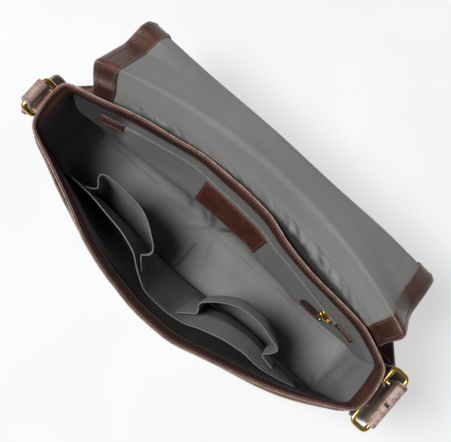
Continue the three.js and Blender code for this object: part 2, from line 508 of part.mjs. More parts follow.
// strap, from the folded end at the left ring, down, behind the bag, up to the buckle
const STRAP_X = 229;           // where it hangs, out from the middle of the bag
const FLOOR_Z = STRAP_THICK / 2 + 0.1;
const STRAP_OUT = 3.4;         // a little further out at the top
const RUN_Y = 77;              // where it runs behind the bag
const LEAN = { left: 10, right: 17, foot: 20 }; // how far it hangs over to the back
const FOLD_R = 4.2;            // radius of the diagonal fold
const DROP_R = 12;             // bend from hanging to lying
const TWIST_TOP = 205, TWIST_FOOT = 34;
const TWIST_STEPS = 6, BEND_STEPS = 3, FOLD_STEPS = 5;
function strapRows() {
  const rows = [];
  const neck = STRAP_NECK / 2, full = STRAP_WIDE / 2;
  const push = (p, w, n, h) => rows.push({ p, w: w.clone().normalize(), n: n.clone().normalize(), half: h });
  // left end: sewn end inside, up, over the ring, down
  const r = RING_WIRE + 0.45 + STRAP_THICK / 2;
  const o = RING.outer;
  const left = [[o[0] + 3.4, 228], [o[0] + 1.2, 250], [o[0] - r + 0.9, o[1] - 9], ...arc(o[0], o[1], r, 180, 0, 6),
    [o[0] + r + 0.6, 262], [o[0] + r + 1.4, 246], [STRAP_X + 4.6, 226], [STRAP_X + STRAP_OUT, TWIST_TOP]];
  const leans = (z) => LEAN.left * Math.min(1, Math.max(0, (262 - z) / (262 - TWIST_TOP)));
  const widths = left.map(([, z], i) => (i < 3 ? neck : i < left.length - 3 ? neck : i === left.length - 3 ? neck + 3 : full));
  sideRows(-1, END_Y.left, left, (i) => widths[i]).forEach((q, i) => {
    if (i > 3) q.p.y += leans(left[i][1]);
    rows.push(q);
  });
  // hanging, turning a quarter
  const hang = (sign, k) => {
    const a = k * Math.PI / 2;
    const w = V(Math.sin(a) * sign * -1, Math.cos(a), 0);
    const t = V(0, 0, -1);
    return { p: V(sign * (STRAP_X + STRAP_OUT * (1 - k)), END_Y.left + lerp(LEAN.left, LEAN.foot, k), lerp(TWIST_TOP, TWIST_FOOT, k)), w, n: V(0, 0, 0).crossVectors(t, w) };
  };
  for (const k of steps(0, 1, TWIST_STEPS).slice(1)) { const q = hang(-1, k); push(q.p, q.w, q.n, full); }
  // bend to the floor, heading back (+Y), width along X
  for (const a of steps(0, 90, BEND_STEPS).slice(1)) {
    const k = a * Math.PI / 180;
    const p = V(-STRAP_X, END_Y.left + LEAN.foot + DROP_R * (1 - Math.cos(k)), TWIST_FOOT - (TWIST_FOOT - FLOOR_Z) * Math.sin(k));
    const n = V(0, Math.cos(k), Math.sin(k)).multiplyScalar(-1);
    push(p, V(1, 0, 0), n, full);
  }
  return rows;
}
const leftRows = strapRows();
// flat sheet coordinates on the floor: d along the strap from the bend, c across
const START_Y = END_Y.left + LEAN.foot + DROP_R;
const FOLD_D = RUN_Y - START_Y;          // centre line reaches the fold here
function folded(d, c) {
  // strap lies along +Y at x = -STRAP_X (+c), is folded over a 45 degree line, then runs to +X
  const x = c, y = d - FOLD_D;           // about the fold centre
  const a = (x + y) / Math.SQRT2, b = (y - x) / Math.SQRT2;
  let bb = b, z = 0, top = 0;
  const arcLen = Math.PI * FOLD_R;
  if (b > 0 && b < arcLen) { bb = FOLD_R * Math.sin(b / FOLD_R); z = FOLD_R * (1 - Math.cos(b / FOLD_R)); }
  else if (b >= arcLen) { bb = -(b - arcLen); z = 2 * FOLD_R; top = 1; }
  const X = (a - bb) / Math.SQRT2, Y = (a + bb) / Math.SQRT2;
  // past the first layer the strap settles to the floor again
  let drop = 0;
  if (top) { const k = Math.min(1, Math.max(0, (X - 30) / 70)); drop = 2 * FOLD_R * k * k * (3 - 2 * k); }
  return V(-STRAP_X + X, RUN_Y + Y, FLOOR_Z + z - drop);
}
const FOLD_SPAN = STRAP_WIDE / 2 + Math.PI * FOLD_R * Math.SQRT2;
{
  // grid of strap points, centre surface, then thickened along its normal
  const cols = 4, cs = steps(-1, 1, cols);
  const grid = [];
  for (const q of leftRows) grid.push(cs.map((c) => q.p.clone().addScaledVector(q.w, q.half * c)));
  const across = STRAP_WIDE / 2;
  for (const d of [4, FOLD_D - across - 4]) grid.push(cs.map((c) => folded(d, c * across)));
  for (const b of steps(0, Math.PI * FOLD_R, FOLD_STEPS)) {        // rows laid along the fold
    grid.push(cs.map((c) => folded(FOLD_D + c * across + b * Math.SQRT2, c * across)));
  }
  for (const d of [4, 22, 44, 68, 96]) grid.push(cs.map((c) => folded(FOLD_D + FOLD_SPAN + d, c * across)));
  const more = (i) => (i < TWIST_STEPS ? (LEAN.right - LEAN.left) * (1 - (i + 1) / TWIST_STEPS) : 0);
  const mirror = grid.slice(leftRows.length - TWIST_STEPS - BEND_STEPS).map((row, i) => row.map((p) => V(-p.x, p.y + more(i), p.z)));
  mirror.reverse();
  for (const row of mirror) grid.push(row);
  // right end: up to the buckle, over its outer bar, free end hanging inside
  const r = BUCKLE_WIRE + 0.45 + STRAP_THICK / 2, o = BUCKLE.outer;
  const right = [[STRAP_X + 4.6, 222], [STRAP_X + 5, 246], [o[0] + r + 0.1, o[1] - 8], ...arc(o[0], o[1], r, 0, 150, 6), [o[0] - r - 0.6, o[1] - 10], [o[0] - r + 0.2, 240], [o[0] - r + 0.6, 200], [o[0] - r + 0.6, 160], [o[0] - r + 0.6, 140]];
  const tips = right.map((_, i) => (i < right.length - 2 ? STRAP_WIDE / 2 : i === right.length - 2 ? STRAP_WIDE / 2 - 1 : 14));
  const rr = sideRows(1, END_Y.right, right, (i) => tips[i]);
  rr.slice(0, 3).forEach((q) => { q.p.y += LEAN.right * Math.min(1, Math.max(0, (262 - q.p.z) / (262 - TWIST_TOP))); });
  for (const q of rr) grid.push(cs.map((c) => q.p.clone().addScaledVector(q.w, q.half * c)));
  const n = grid.length;
  const normal = (i, j) => {
    const a = grid[Math.max(0, i - 1)][j], b = grid[Math.min(n - 1, i + 1)][j];
    const c = grid[i][Math.max(0, j - 1)], d = grid[i][Math.min(cols, j + 1)];
    return V(0, 0, 0).crossVectors(b.clone().sub(a), d.clone().sub(c)).normalize();
  };
  const side = (k) => (i, j) => grid[i][j].clone().addScaledVector(normal(i, j), k * STRAP_THICK / 2);
  wall('strap', grid.map((_, i) => i), cs.map((_, j) => j), side(1), side(-1), leather());
}
// prong: round the buckle bar beside the tab, through the strap hole to the outer bar
{
  const y = END_Y.right + STRAP_NECK / 2 + 3.2;
  const b = BUCKLE.bar, o = BUCKLE.outer, r = BUCKLE_WIRE + 1.3 + 0.4;
  const path = [...arc(b[0], b[1], r, 250, 70, 7), [b[0] + 6, b[1] + 4.2]];
  wire('prong', path.map(([x, z]) => V(x, y, z)), 1.3, 6, false, brass());
}

export default group;
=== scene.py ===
# Leather messenger bag, open, flap thrown back: the looks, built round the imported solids.
# Sizes below are millimetres, as in the solid model, and turn into metres when a mesh is made.
import math

import bpy
import numpy as np
from mathutils import Matrix, Vector


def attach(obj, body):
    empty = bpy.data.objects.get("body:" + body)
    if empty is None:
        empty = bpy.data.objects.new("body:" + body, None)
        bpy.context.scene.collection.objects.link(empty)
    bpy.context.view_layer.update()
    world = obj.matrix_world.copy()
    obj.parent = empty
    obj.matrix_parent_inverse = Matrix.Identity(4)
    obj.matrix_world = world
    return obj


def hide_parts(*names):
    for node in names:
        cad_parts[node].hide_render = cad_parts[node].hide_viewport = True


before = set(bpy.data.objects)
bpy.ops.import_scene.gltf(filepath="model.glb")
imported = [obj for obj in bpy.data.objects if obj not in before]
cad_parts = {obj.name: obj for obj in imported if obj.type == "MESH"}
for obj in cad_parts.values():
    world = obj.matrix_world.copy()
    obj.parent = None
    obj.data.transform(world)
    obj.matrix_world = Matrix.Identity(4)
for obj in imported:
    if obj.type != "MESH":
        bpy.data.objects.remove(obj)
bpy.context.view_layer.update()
scene = bpy.context.scene

# ------------------------------------------------------------------ sizes
BAG_HEIGHT = 290.0
BASE_LENGTH = 396.0
HALF = 30.0                    # depth of the base in front, and half depth of the rim at its ends
BACK_FOOT = 48.0               # the base reaches this far to the back
RIM_HALF = 200.2
FRONT_SHIFT, BACK_SHIFT = 0.8, -5.0
SEAM_EDGE = 4.0
END_BULGE = 6.5
LEATHER, LINING, GAP = 2.0, 1.0, 0.35
IN_1 = LEATHER + GAP
IN_2 = IN_1 + LINING
FACE_1 = IN_2 + GAP + 0.25
POCKET_TOP = 266.0
SLIP_TOP, SLIP_WALL = 214.0, 1.2
PATCH_TOP, PATCH_FOOT = 198.0, 62.0
ZIP_HEIGHT, ZIP_DROP, ZIP_HALF = 243.0, 12.0, 146.0
LABEL = dict(x0=-48.0, x1=41.0, top=239.8, foot=204.0)
GAP_IN, CREST_RISE = 2.35, 36.0
FLAP_HALF, FLAP_FACING = 187.0, 22.0
STRAP_WIDE, STRAP_THICK, STRAP_NECK = 52.0, 3.0, 27.0
TAB_THICK = 2.0
RING_WIRE, BUCKLE_WIRE = 2.4, 2.2
RING = dict(bar=(214.5, 272.0), outer=(226.0, 282.0), half=17.4)
BUCKLE = dict(bar=(211.5, 272.0), outer=(229.5, 267.0), half=33.0)
END_Y = 1.0

# columns: place along the bag, bow of the front rim, bow of the back rim
RIM = [(-1.00, 0.0, 0.0), (-0.85, 11.5, 9.0), (-0.65, 28.5, 21.8), (-0.45, 47.0, 29.0),
       (-0.25, 58.5, 35.8), (-0.05, 64.0, 37.2), (0.12, 63.0, 34.0), (0.30, 56.0, 24.0),
       (0.45, 48.0, 19.8), (0.65, 34.0, 16.5), (0.82, 19.5, 13.0), (1.00, 0.0, 0.0)]
# columns: place along the bag, stand-off of the outer pocket's top edge
POUCH = [(-0.97, 0.0), (-0.7, 3.0), (-0.4, 0.9), (0.0, 0.6), (0.3, 1.6), (0.6, 3.2), (0.97, 0.0)]
# columns: height, stand-off of the back lining in the middle, at the ends
BACK_LINING = [(5, 2.35, 2.35), (90, 2.9, 2.5), (150, 5.5, 4.2), (180, 15.0, 9.0), (197, 24.8, 13.3),
               (218, 17.0, 12.5), (240, 8.7, 10.1), (261, 2.5, 2.6), (290, 2.35, 2.35)]
END_MORE = {-1: 5.5, 1: 7.0}   # the soft ends settle outward at the rim
CORNER, TURN, TURN_BACK = 15.0, 1.8, 2.8                  # how far from a corner the walls begin to turn into each other
# columns: x, stand-off of the slip pocket at its top edge, at its belly
SLIP = [(-166, 0.0, 0.0), (-145, 8.0, 7.0), (-118, 15.0, 13.0), (-87, 19.5, 15.0), (-63, 17.0, 12.0),
        (-39, 6.2, 5.0), (-20, 0.3, 0.3), (6, 0.0, 0.0), (28, 2.6, 8.0), (49, 7.0, 15.5),
        (73, 9.0, 19.5), (97, 6.8, 18.0), (120, 1.0, 10.5), (141, 0.0, 3.5), (158, 0.0, 0.0)]
# columns: x at the mouth, x at the foot, depth off the slip panel
PATCH_LEFT = [(-143, -139, 0.0), (-137, -136, 4.5), (-136, -134, 9.5), (-143, -131, 16.5), (-145, -128, 21.0),
              (-141, -123, 24.0), (-131, -115, 25.5), (-119, -106, 27.5), (-105, -96, 29.0), (-90, -86, 28.0),
              (-75, -75, 25.0), (-61, -65, 21.5), (-50.5, -57, 20.0), (-47.5, -53, 16.5), (-50, -51, 10.5),
              (-53.5, -49, 6.0), (-50, -47, 3.0), (-40, -44, 0.2)]
PATCH_RIGHT = [(17, 24, 0.0), (28, 29, 4.5), (35, 33, 6.5), (36, 36, 10.5), (32.5, 39, 17.0), (35, 43, 20.5),
               (46, 51, 24.0), (60, 62, 27.5), (78, 76, 28.5), (96, 90, 27.0), (111, 102, 25.0), (124, 112, 21.5),
               (127, 116, 18.5), (122, 118, 12.0), (115.5, 120, 6.5), (118, 121, 3.2), (131, 124, 0.2)]
# columns: height and y at the flap's left side, in its middle, at its right side, hold on the back panel
FLAP = [(256, 37.9, 256, 63.4, 256, 37.9, 1.0), (275, 41.0, 275, 69.0, 275, 41.0, 0.45), (293, 43.0, 293, 73.5, 293, 43.0, 0.0),
        (325, 45.6, 316, 77.5, 325, 45.6, 0.0), (353, 48.8, 336, 81.0, 350, 47.8, 0.0), (365, 51.2, 345, 84.5, 358, 50.2, 0.0),
        (366, 54.5, 348, 89.0, 357, 54.0, 0.0), (358, 60.0, 345, 95.0, 343, 60.0, 0.0), (338, 75.0, 334, 104.0, 313, 71.0, 0.0),
        (319, 90.0, 320, 112.5, 292, 82.0, 0.0), (317, 103.0, 308, 119.5, 284, 95.0, 0.0), (317, 113.0, 297, 125.0, 276, 109.0, 0.0),
        (305, 123.0, 281, 129.5, 262, 123.0, 0.0), (280, 129.5, 258, 131.5, 246, 129.0, 0.0), (235, 132.0, 222, 132.0, 215, 132.0, 0.0),
        (178, 128.0, 170, 127.5, 178, 128.0, 0.0)]


# ---------------------------------------------------------------- helpers
def lerp(a, b, k):
    return a + (b - a) * k


def smooth(k):
    k = np.clip(k, 0, 1)
    return k * k * (3 - 2 * k)


def curve(rows, col, key=0):
    """smooth curve through one column of a table"""
    k = np.array([r[key] for r in rows], float)
    v = np.array([r[col] for r in rows], float)
    d = np.diff(v) / np.diff(k)
    m = np.empty_like(v)
    m[0], m[-1] = d[0], d[-1]
    a, b = d[:-1], d[1:]
    total = np.where(np.abs(a + b) < 1e-12, 1, a + b)
    m[1:-1] = np.where(a * b <= 0, 0, 2 * a * b / total)

    def at(x):
        x = np.clip(x, k[0], k[-1])
        i = np.clip(np.searchsorted(k, x) - 1, 0, len(k) - 2)
        h = k[i + 1] - k[i]
        t = (x - k[i]) / h
        t2, t3 = t * t, t * t * t
        return (v[i] * (2 * t3 - 3 * t2 + 1) + m[i] * h * (t3 - 2 * t2 + t)
                + v[i + 1] * (3 * t2 - 2 * t3) + m[i + 1] * h * (t3 - t2))
    return at


def through(values, at, pull=0.5):
    """smooth curve through equally numbered values (n, ...), at places 0..n-1; a small pull keeps corners sharp"""
    v = np.asarray(values, float)
    n = len(v)
    at = np.clip(np.asarray(at, float), 0, n - 1)
    i = np.clip(np.floor(at).astype(int), 0, n - 2)
    t = at - i
    p = [v[np.clip(i + k, 0, n - 1)] for k in (-1, 0, 1, 2)]
    t = t.reshape(t.shape + (1,) * (v.ndim - 1))
    a, b = pull * (p[2] - p[0]), pull * (p[3] - p[1])
    return p[1] + a * t + (3 * (p[2] - p[1]) - 2 * a - b) * t ** 2 + (2 * (p[1] - p[2]) + a + b) * t ** 3


def ripples(seed, count, short, long):
    """soft uneven surface: a few waves of fixed direction, about -1..1"""
    g = np.random.default_rng(seed)
    ang, lam, ph = g.uniform(0, np.pi, count), g.uniform(short, long, count), g.uniform(0, 2 * np.pi, count)

    def at(a, b):
        total = 0.0
        for t, l, p in zip(ang, lam, ph):
            total = total + np.sin(2 * np.pi * (a * math.cos(t) + b * math.sin(t)) / l + p)
        return total / math.sqrt(count) / 1.2
    return at


def ridge(a, b, p, q, wide, amp):
    """a long low fold from p to q"""
    dx, dy = q[0] - p[0], q[1] - p[1]
    length = math.hypot(dx, dy)
    t = ((a - p[0]) * dx + (b - p[1]) * dy) / length ** 2
    d = ((a - p[0]) * dy - (b - p[1]) * dx) / length
    return amp * np.exp(-(d / wide) ** 2) * smooth(np.minimum(t + 0.15, 1.15 - t) / 0.3)


def close_steps(a, b, n, unit=1.0, r=1.0, low=True, high=True):
    """n even steps from a to b, with close steps at rounded edges; unit is mm for each step of the parameter"""
    core = np.linspace(a, b, n + 1)
    near = np.array([0, 0.1, 0.35, 1.0, 2.0]) * r / unit
    out = core
    if low:
        out = np.concatenate([a + near, out[out > a + near[-1] * 1.3]])
    if high:
        out = np.concatenate([out[out < b - near[-1] * 1.3], (b - near)[::-1]])
    return out


def roundness(dist, r):
    k = np.clip(dist / r, 0, 1)
    return np.sqrt(np.clip(1 - (1 - k) ** 2, 0.06, 1))


def normalize(v):
    return v / np.maximum(np.linalg.norm(v, axis=-1, keepdims=True), 1e-12)


def mesh_object(name, points, faces, material, attrs):
    me = bpy.data.meshes.new(name)
    me.from_pydata((np.asarray(points, float) / 1000).tolist(), [], [list(f) for f in faces])
    me.polygons.foreach_set("use_smooth", np.ones(len(me.polygons), bool))
    for key, a in attrs.items():
        a = np.asarray(a, np.float32)
        if a.ndim == 1:
            me.attributes.new(key, "FLOAT", "POINT").data.foreach_set("value", a)
        else:
            me.attributes.new(key, "FLOAT_VECTOR", "POINT").data.foreach_set("vector", a.ravel())
    me.materials.append(material)
    me.update()
    ob = bpy.data.objects.new(name, me)
    scene.collection.objects.link(ob)
    return ob


def piece(ob, slot, *nodes):
    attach(ob, "root")
    if nodes:
        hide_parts(*nodes)
    return ob


def signed_volume(p, f):
    a, b, c, d = (p[f[:, i]] for i in range(4))
    return (a * np.cross(b, c)).sum() + (a * np.cross(c, d)).sum()


def shell(name, face, back, material, cloth=None, wear_and_highlight=None, dark=None, closed_u=False):
    """closed thin wall between two grids of points (nu, nv, 3)"""
    nu, nv = face.shape[:2]
    points = np.concatenate([face.reshape(-1, 3), back.reshape(-1, 3)])
    idx = np.arange(nu * nv).reshape(nu, nv)
    if closed_u:
        idx = np.concatenate([idx, idx[:1]])
    o = nu * nv
    a, b, c, d = idx[:-1, :-1], idx[1:, :-1], idx[1:, 1:], idx[:-1, 1:]
    quads = [np.stack([a, b, c, d], -1).reshape(-1, 4), np.stack([a, d, c, b], -1).reshape(-1, 4) + o]
    for line, flip in ((idx[:, 0], False), (idx[:, -1], True)):
        e, g = line[:-1], line[1:]
        q = np.stack([e, e + o, g + o, g], -1)
        quads.append(q[:, ::-1] if flip else q)
    if not closed_u:
        for line, flip in ((idx[0, :], True), (idx[-1, :], False)):
            e, g = line[:-1], line[1:]
            q = np.stack([e, e + o, g + o, g], -1)
            quads.append(q[:, ::-1] if flip else q)
    faces = np.concatenate(quads)
    if signed_volume(points, faces) < 0:
        faces = faces[:, ::-1]
    attrs = {}
    grid = np.ones((nu, nv))
    if cloth is not None:
        both = np.stack([np.broadcast_to(cloth[0], (nu, nv)), np.broadcast_to(cloth[1], (nu, nv)), 0 * grid], -1)
        attrs["cloth"] = np.concatenate([both.reshape(-1, 3), both.reshape(-1, 3)]) / 1000
    # Per point: how far the colour goes pale, for real wear and for painted highlight, and how far it goes dark, mostly
    # painted shade.
    for key, value in (("wear_and_highlight", wear_and_highlight), ("dark", dark)):
        if value is None:
            value = 0.0
        two = value if isinstance(value, tuple) else (value, value)
        attrs[key] = np.concatenate([(grid * np.asarray(w)).ravel() for w in two])
    return mesh_object(name, points, faces.tolist(), material, attrs)


def wall(name, us, vs, surface, d0, d1, material, unit=(1.0, 1.0), rounded=(True, True, True, True), r=None,
         edge_wear_and_highlight=(0, 0, 0, 0), dark=None, cloth=None, highlight_and_wear_mix=None):
    """a wall on surface(U, V, d) from offset d0 to d1, its edges rounded, in the order u low, u high, v low, v high"""
    U, V = np.meshgrid(us, vs, indexing="ij")
    h, mid = (d1 - d0) / 2, (d0 + d1) / 2
    r = r or float(np.max(np.abs(h)))
    dist = [(U - us[0]) * unit[0], (us[-1] - U) * unit[0], (V - vs[0]) * unit[1], (vs[-1] - V) * unit[1]]
    q = np.ones_like(U)
    # Pale bands along the given edges, part real wear and part painted highlight.
    wear_and_highlight = np.zeros_like(U)
    for e, on, w in zip(dist, rounded, edge_wear_and_highlight):
        if on:
            q = q * roundness(e, r)
        if w:
            wear_and_highlight = np.maximum(wear_and_highlight, w * np.exp(-(np.maximum(e - 0.2, 0) / 0.8) ** 2))
    # An extra mask of painted light, laid over the pale bands.
    if highlight_and_wear_mix is not None:
        wear_and_highlight = np.maximum(wear_and_highlight, highlight_and_wear_mix)
    lines = cloth or (U * unit[0], V * unit[1])
    return shell(name, surface(U, V, mid - h * q), surface(U, V, mid + h * q), material, cloth=lines, wear_and_highlight=wear_and_highlight, dark=dark)


def tube(name, line, radius, sides, closed, material, wear_and_highlight=0.0):
    """round wire along points (n, 3), radius a number or one for each point"""
    line = np.asarray(line, float)
    n = len(line)
    radius = np.broadcast_to(np.asarray(radius, float), (n,))
    if closed:
        tan = normalize(np.roll(line, -1, 0) - np.roll(line, 1, 0))
    else:
        tan = normalize(np.gradient(line, axis=0))
    side = np.array([0.31, 0.17, 0.93])
    ring = []
    for i in range(n):
        side = side - tan[i] * (side @ tan[i])
        side = side / np.linalg.norm(side)
        up = np.cross(tan[i], side)
        a = 2 * np.pi * np.arange(sides) / sides
        ring.append(line[i] + radius[i] * (np.cos(a)[:, None] * side + np.sin(a)[:, None] * up))
    pts = np.concatenate(ring)
    idx = np.arange(n * sides).reshape(n, sides)
    faces = []
    spans = n if closed else n - 1
    shift = 0
    if closed:
        shift = int(np.argmin([np.abs(ring[-1] - np.roll(ring[0], -k, 0)).sum() for k in range(sides)]))
    for i in range(spans):
        j = (i + 1) % n
        s = shift if closed and i == n - 1 else 0
        for k in range(sides):
            m = (k + 1) % sides
            faces.append((idx[i, k], idx[i, m], idx[j, (m + s) % sides], idx[j, (k + s) % sides]))
    if not closed:
        faces.append(tuple(idx[0, ::-1]))
        faces.append(tuple(idx[-1]))
    return mesh_object(name, pts, faces, material, {"wear_and_highlight": np.full(len(pts), wear_and_highlight), "dark": np.zeros(len(pts))})


def resample(line, step=None, count=None):
    """points evenly along a polyline (n, 3)"""
    seg = np.concatenate([[0], np.cumsum(np.linalg.norm(np.diff(line, axis=0), axis=1))])
    count = count or max(2, int(round(seg[-1] / step)))
    at = np.linspace(0, seg[-1], count + 1)
    return np.stack([np.interp(at, seg, line[:, k]) for k in range(line.shape[1])], -1)


class Thread:
    """gathers rows of stitches into one joined mesh"""
    SIDES = 5

    def __init__(self):
        self.points, self.faces, self.count = [], [], 0

    def row(self, line, out, pitch=3.6, length=2.7, radius=0.42, lift=0.12):
        """stitches along line (n, 3); out (n, 3) points off the surface"""
        line, out = np.asarray(line, float), np.asarray(out, float)
        seg = np.concatenate([[0], np.cumsum(np.linalg.norm(np.diff(line, axis=0), axis=1))])
        n = int(seg[-1] // pitch)
        if n < 1:
            return
        mid = (np.arange(n) + 0.5) * seg[-1] / n
        pick = lambda a, at: np.stack([np.interp(at, seg, a[:, k]) for k in range(3)], -1)
        p0, p1 = pick(line, mid - length / 2), pick(line, mid + length / 2)
        t = normalize(p1 - p0)
        o = normalize(pick(out, mid))
        o = normalize(o - t * (o * t).sum(-1, keepdims=True))
        w = np.cross(t, o)
        a = 2 * np.pi * np.arange(self.SIDES) / self.SIDES
        rings = []
        for k, grow, up in ((0.0, 0.45, -0.30), (0.22, 1.0, lift), (0.78, 1.0, lift), (1.0, 0.45, -0.30)):
            c = p0 + (p1 - p0) * k + o * up
            rings.append(c[:, None] + radius * grow * (np.cos(a)[None, :, None] * o[:, None] + np.sin(a)[None, :, None] * w[:, None]))
        block = np.stack(rings, 1)                        # n, 4, sides, 3
        s = self.SIDES
        idx = (np.arange(n * 4 * s) + self.count).reshape(n, 4, s)
        nxt = np.roll(idx, -1, 2)
        q = np.stack([idx[:, :-1], idx[:, 1:], nxt[:, 1:], nxt[:, :-1]], -1).reshape(-1, 4)
        self.points.append(block.reshape(-1, 3))
        self.faces += q.tolist() + idx[:, 0].tolist() + idx[:, -1][:, ::-1].tolist()
        self.count += n * 4 * s

    def make(self, name, material, slot):
        pts = np.concatenate(self.points)
        z = np.zeros(len(pts))
        return piece(mesh_object(name, pts, self.faces, material, {"wear_and_highlight": z, "dark": z}), slot)


# -------------------------------------------------------------- materials
class Shader:
    def __init__(self, name):
        self.mat = bpy.data.materials.new(name)
        self.mat.use_nodes = True
        self.nt = self.mat.node_tree
        self.nt.nodes.clear()
        self.bsdf = self.add("ShaderNodeBsdfPrincipled")
        out = self.add("ShaderNodeOutputMaterial")
        self.nt.links.new(self.bsdf.outputs[0], out.inputs[0])

    def add(self, kind, **kw):
        node = self.nt.nodes.new(kind)
        for k, v in kw.items():
            setattr(node, k, v)
        return node

    def put(self, socket, value):
        if isinstance(value, bpy.types.NodeSocket):
            self.nt.links.new(value, socket)
        else:
            socket.default_value = value

    def math(self, op, a, b=0.0, clamp=False):
        n = self.add("ShaderNodeMath", operation=op, use_clamp=clamp)
        self.put(n.inputs[0], a)
        self.put(n.inputs[1], b)
        return n.outputs[0]

    def mix(self, k, a, b, blend="MIX"):
        n = self.add("ShaderNodeMix", data_type="RGBA", blend_type=blend)
        self.put(n.inputs[0], k)
        self.put(n.inputs[6], (*a, 1) if isinstance(a, tuple) else a)
        self.put(n.inputs[7], (*b, 1) if isinstance(b, tuple) else b)
        return n.outputs[2]

    def ramp(self, value, lo, hi, a=0.0, b=1.0):
        n = self.add("ShaderNodeMapRange", interpolation_type="SMOOTHSTEP")
        self.put(n.inputs[0], value)
        for i, v in enumerate((lo, hi, a, b)):
            n.inputs[i + 1].default_value = v
        return n.outputs[0]

    def place(self):
        return self.add("ShaderNodeTexCoord").outputs["Object"]

    def attribute(self, name, vector=False):
        n = self.add("ShaderNodeAttribute", attribute_name=name)
        return n.outputs["Vector" if vector else "Fac"]

    def noise(self, scale, detail=3.0, rough=0.55, where=None, stretch=None, warp=0.0):
        n = self.add("ShaderNodeTexNoise")
        where = where or self.place()
        if stretch:
            m = self.add("ShaderNodeMapping")
            m.inputs["Scale"].default_value = stretch
            self.put(m.inputs[0], where)
            where = m.outputs[0]
        self.put(n.inputs["Vector"], where)
        n.inputs["Scale"].default_value = scale
        n.inputs["Detail"].default_value = detail
        n.inputs["Roughness"].default_value = rough
        n.inputs["Distortion"].default_value = warp
        return n.outputs[0]

    def cells(self, scale, feature="F1", where=None, even=1.0):
        n = self.add("ShaderNodeTexVoronoi", feature=feature)
        self.put(n.inputs["Vector"], where or self.place())
        n.inputs["Scale"].default_value = scale
        n.inputs["Randomness"].default_value = even
        return n.outputs["Distance"]

    def bump(self, height, distance, strength=1.0, normal=None):
        n = self.add("ShaderNodeBump")
        n.inputs["Strength"].default_value = strength
        n.inputs["Distance"].default_value = distance
        self.put(n.inputs["Height"], height)
        if normal is not None:
            self.put(n.inputs["Normal"], normal)
        return n.outputs[0]


def leather_material(name, dark, mid, light, pale, rough=0.42, coat=0.10, shine=0.45):
    m = Shader(name)
    broad = m.noise(14.0, 4.0, 0.6, warp=0.6)
    mottle = m.noise(95.0, 5.0, 0.65)
    col = m.mix(m.ramp(broad, 0.36, 0.66), dark, mid)
    col = m.mix(m.math("MULTIPLY", m.ramp(mottle, 0.45, 0.75), 0.55), col, light)
    pores = m.cells(900.0, "F1")
    crack = m.cells(520.0, "DISTANCE_TO_EDGE")
    col = m.mix(m.math("MULTIPLY", m.ramp(crack, 0.0, 0.10, 1.0, 0.0), 0.35), col, tuple(0.55 * c for c in dark))
    # Pale mix: worn edges and painted highlights, broken up by noise.
    wear_and_highlight = m.attribute("wear_and_highlight")
    highlight_and_wear_mix = m.math("MULTIPLY", wear_and_highlight, m.ramp(m.noise(160.0, 4.0, 0.7), 0.30, 0.62, 0.35, 1.0), clamp=True)
    col = m.mix(highlight_and_wear_mix, col, pale)
    # Mix towards deep brown where the mesh asks: painted shade in the strap's slit, and the zip pull darkened all over.
    shade = m.attribute("dark")
    col = m.mix(shade, col, tuple(0.25 * c for c in dark))
    m.put(m.bsdf.inputs["Base Color"], col)
    r = m.math("ADD", m.ramp(mottle, 0.3, 0.75, rough - 0.07, rough + 0.10), m.math("MULTIPLY", m.ramp(crack, 0.0, 0.12, 1.0, 0.0), 0.10))
    m.put(m.bsdf.inputs["Roughness"], r)
    b = m.bump(m.noise(42.0, 3.0, 0.5, warp=0.4), 0.0016, 0.35)
    b = m.bump(m.ramp(crack, 0.0, 0.16), 0.00022, 0.55, b)
    b = m.bump(pores, 0.00012, 0.35, b)
    m.put(m.bsdf.inputs["Normal"], b)
    m.bsdf.inputs["Specular IOR Level"].default_value = shine
    m.bsdf.inputs["Coat Weight"].default_value = coat
    m.bsdf.inputs["Coat Roughness"].default_value = 0.30
    return m.mat


def cloth_material(name, low, high, pale, pitch=0.00085, rib=0.5, sheen=0.12, deep=0.22):
    m = Shader(name)
    uv = m.attribute("cloth", True)
    sep = m.add("ShaderNodeSeparateXYZ")
    m.put(sep.inputs[0], uv)
    u, v = sep.outputs[0], sep.outputs[1]
    turn = 2 * math.pi / pitch
    warp = m.math("SINE", m.math("MULTIPLY", u, turn))
    weft = m.math("SINE", m.math("MULTIPLY", v, turn))
    twill = m.math("SINE", m.math("MULTIPLY", m.math("ADD", u, v), turn * 0.5))
    weave = m.math("ADD", m.math("MULTIPLY", m.math("ADD", warp, weft), 0.22), m.math("MULTIPLY", twill, rib * 0.5))
    weave = m.math("ADD", weave, 0.5)
    broad = m.noise(9.0, 4.0, 0.55)
    slub = m.noise(220.0, 3.0, 0.6, where=uv, stretch=(1.0, 6.0, 1.0))
    fine = m.noise(1500.0, 2.0, 0.6)
    col = m.mix(m.ramp(broad, 0.32, 0.68), low, high)
    col = m.mix(m.math("MULTIPLY", m.ramp(slub, 0.40, 0.72), 0.22), col, pale)
    col = m.mix(m.math("MULTIPLY", m.ramp(weave, 0.15, 0.65, 1.0, 0.0), 0.28), col, tuple(0.45 * c for c in low))
    # Pale mix: painted light.
    col = m.mix(m.math("MULTIPLY", m.attribute("wear_and_highlight"), 0.75), col, pale)
    # Mix towards a deep grey where the mesh asks: painted shade, and the back lining darker from 188 mm up.
    col = m.mix(m.attribute("dark"), col, tuple(deep * c for c in low))
    m.put(m.bsdf.inputs["Base Color"], col)
    m.put(m.bsdf.inputs["Roughness"], m.ramp(fine, 0.3, 0.7, 0.78, 0.92))
    b = m.bump(m.noise(60.0, 4.0, 0.55, warp=0.5), 0.0012, 0.28)
    b = m.bump(weave, 0.00022, 0.5, b)
    m.put(m.bsdf.inputs["Normal"], b)
    m.bsdf.inputs["Specular IOR Level"].default_value = 0.12
    m.bsdf.inputs["Sheen Weight"].default_value = sheen
    m.bsdf.inputs["Sheen Roughness"].default_value = 0.5
    return m.mat


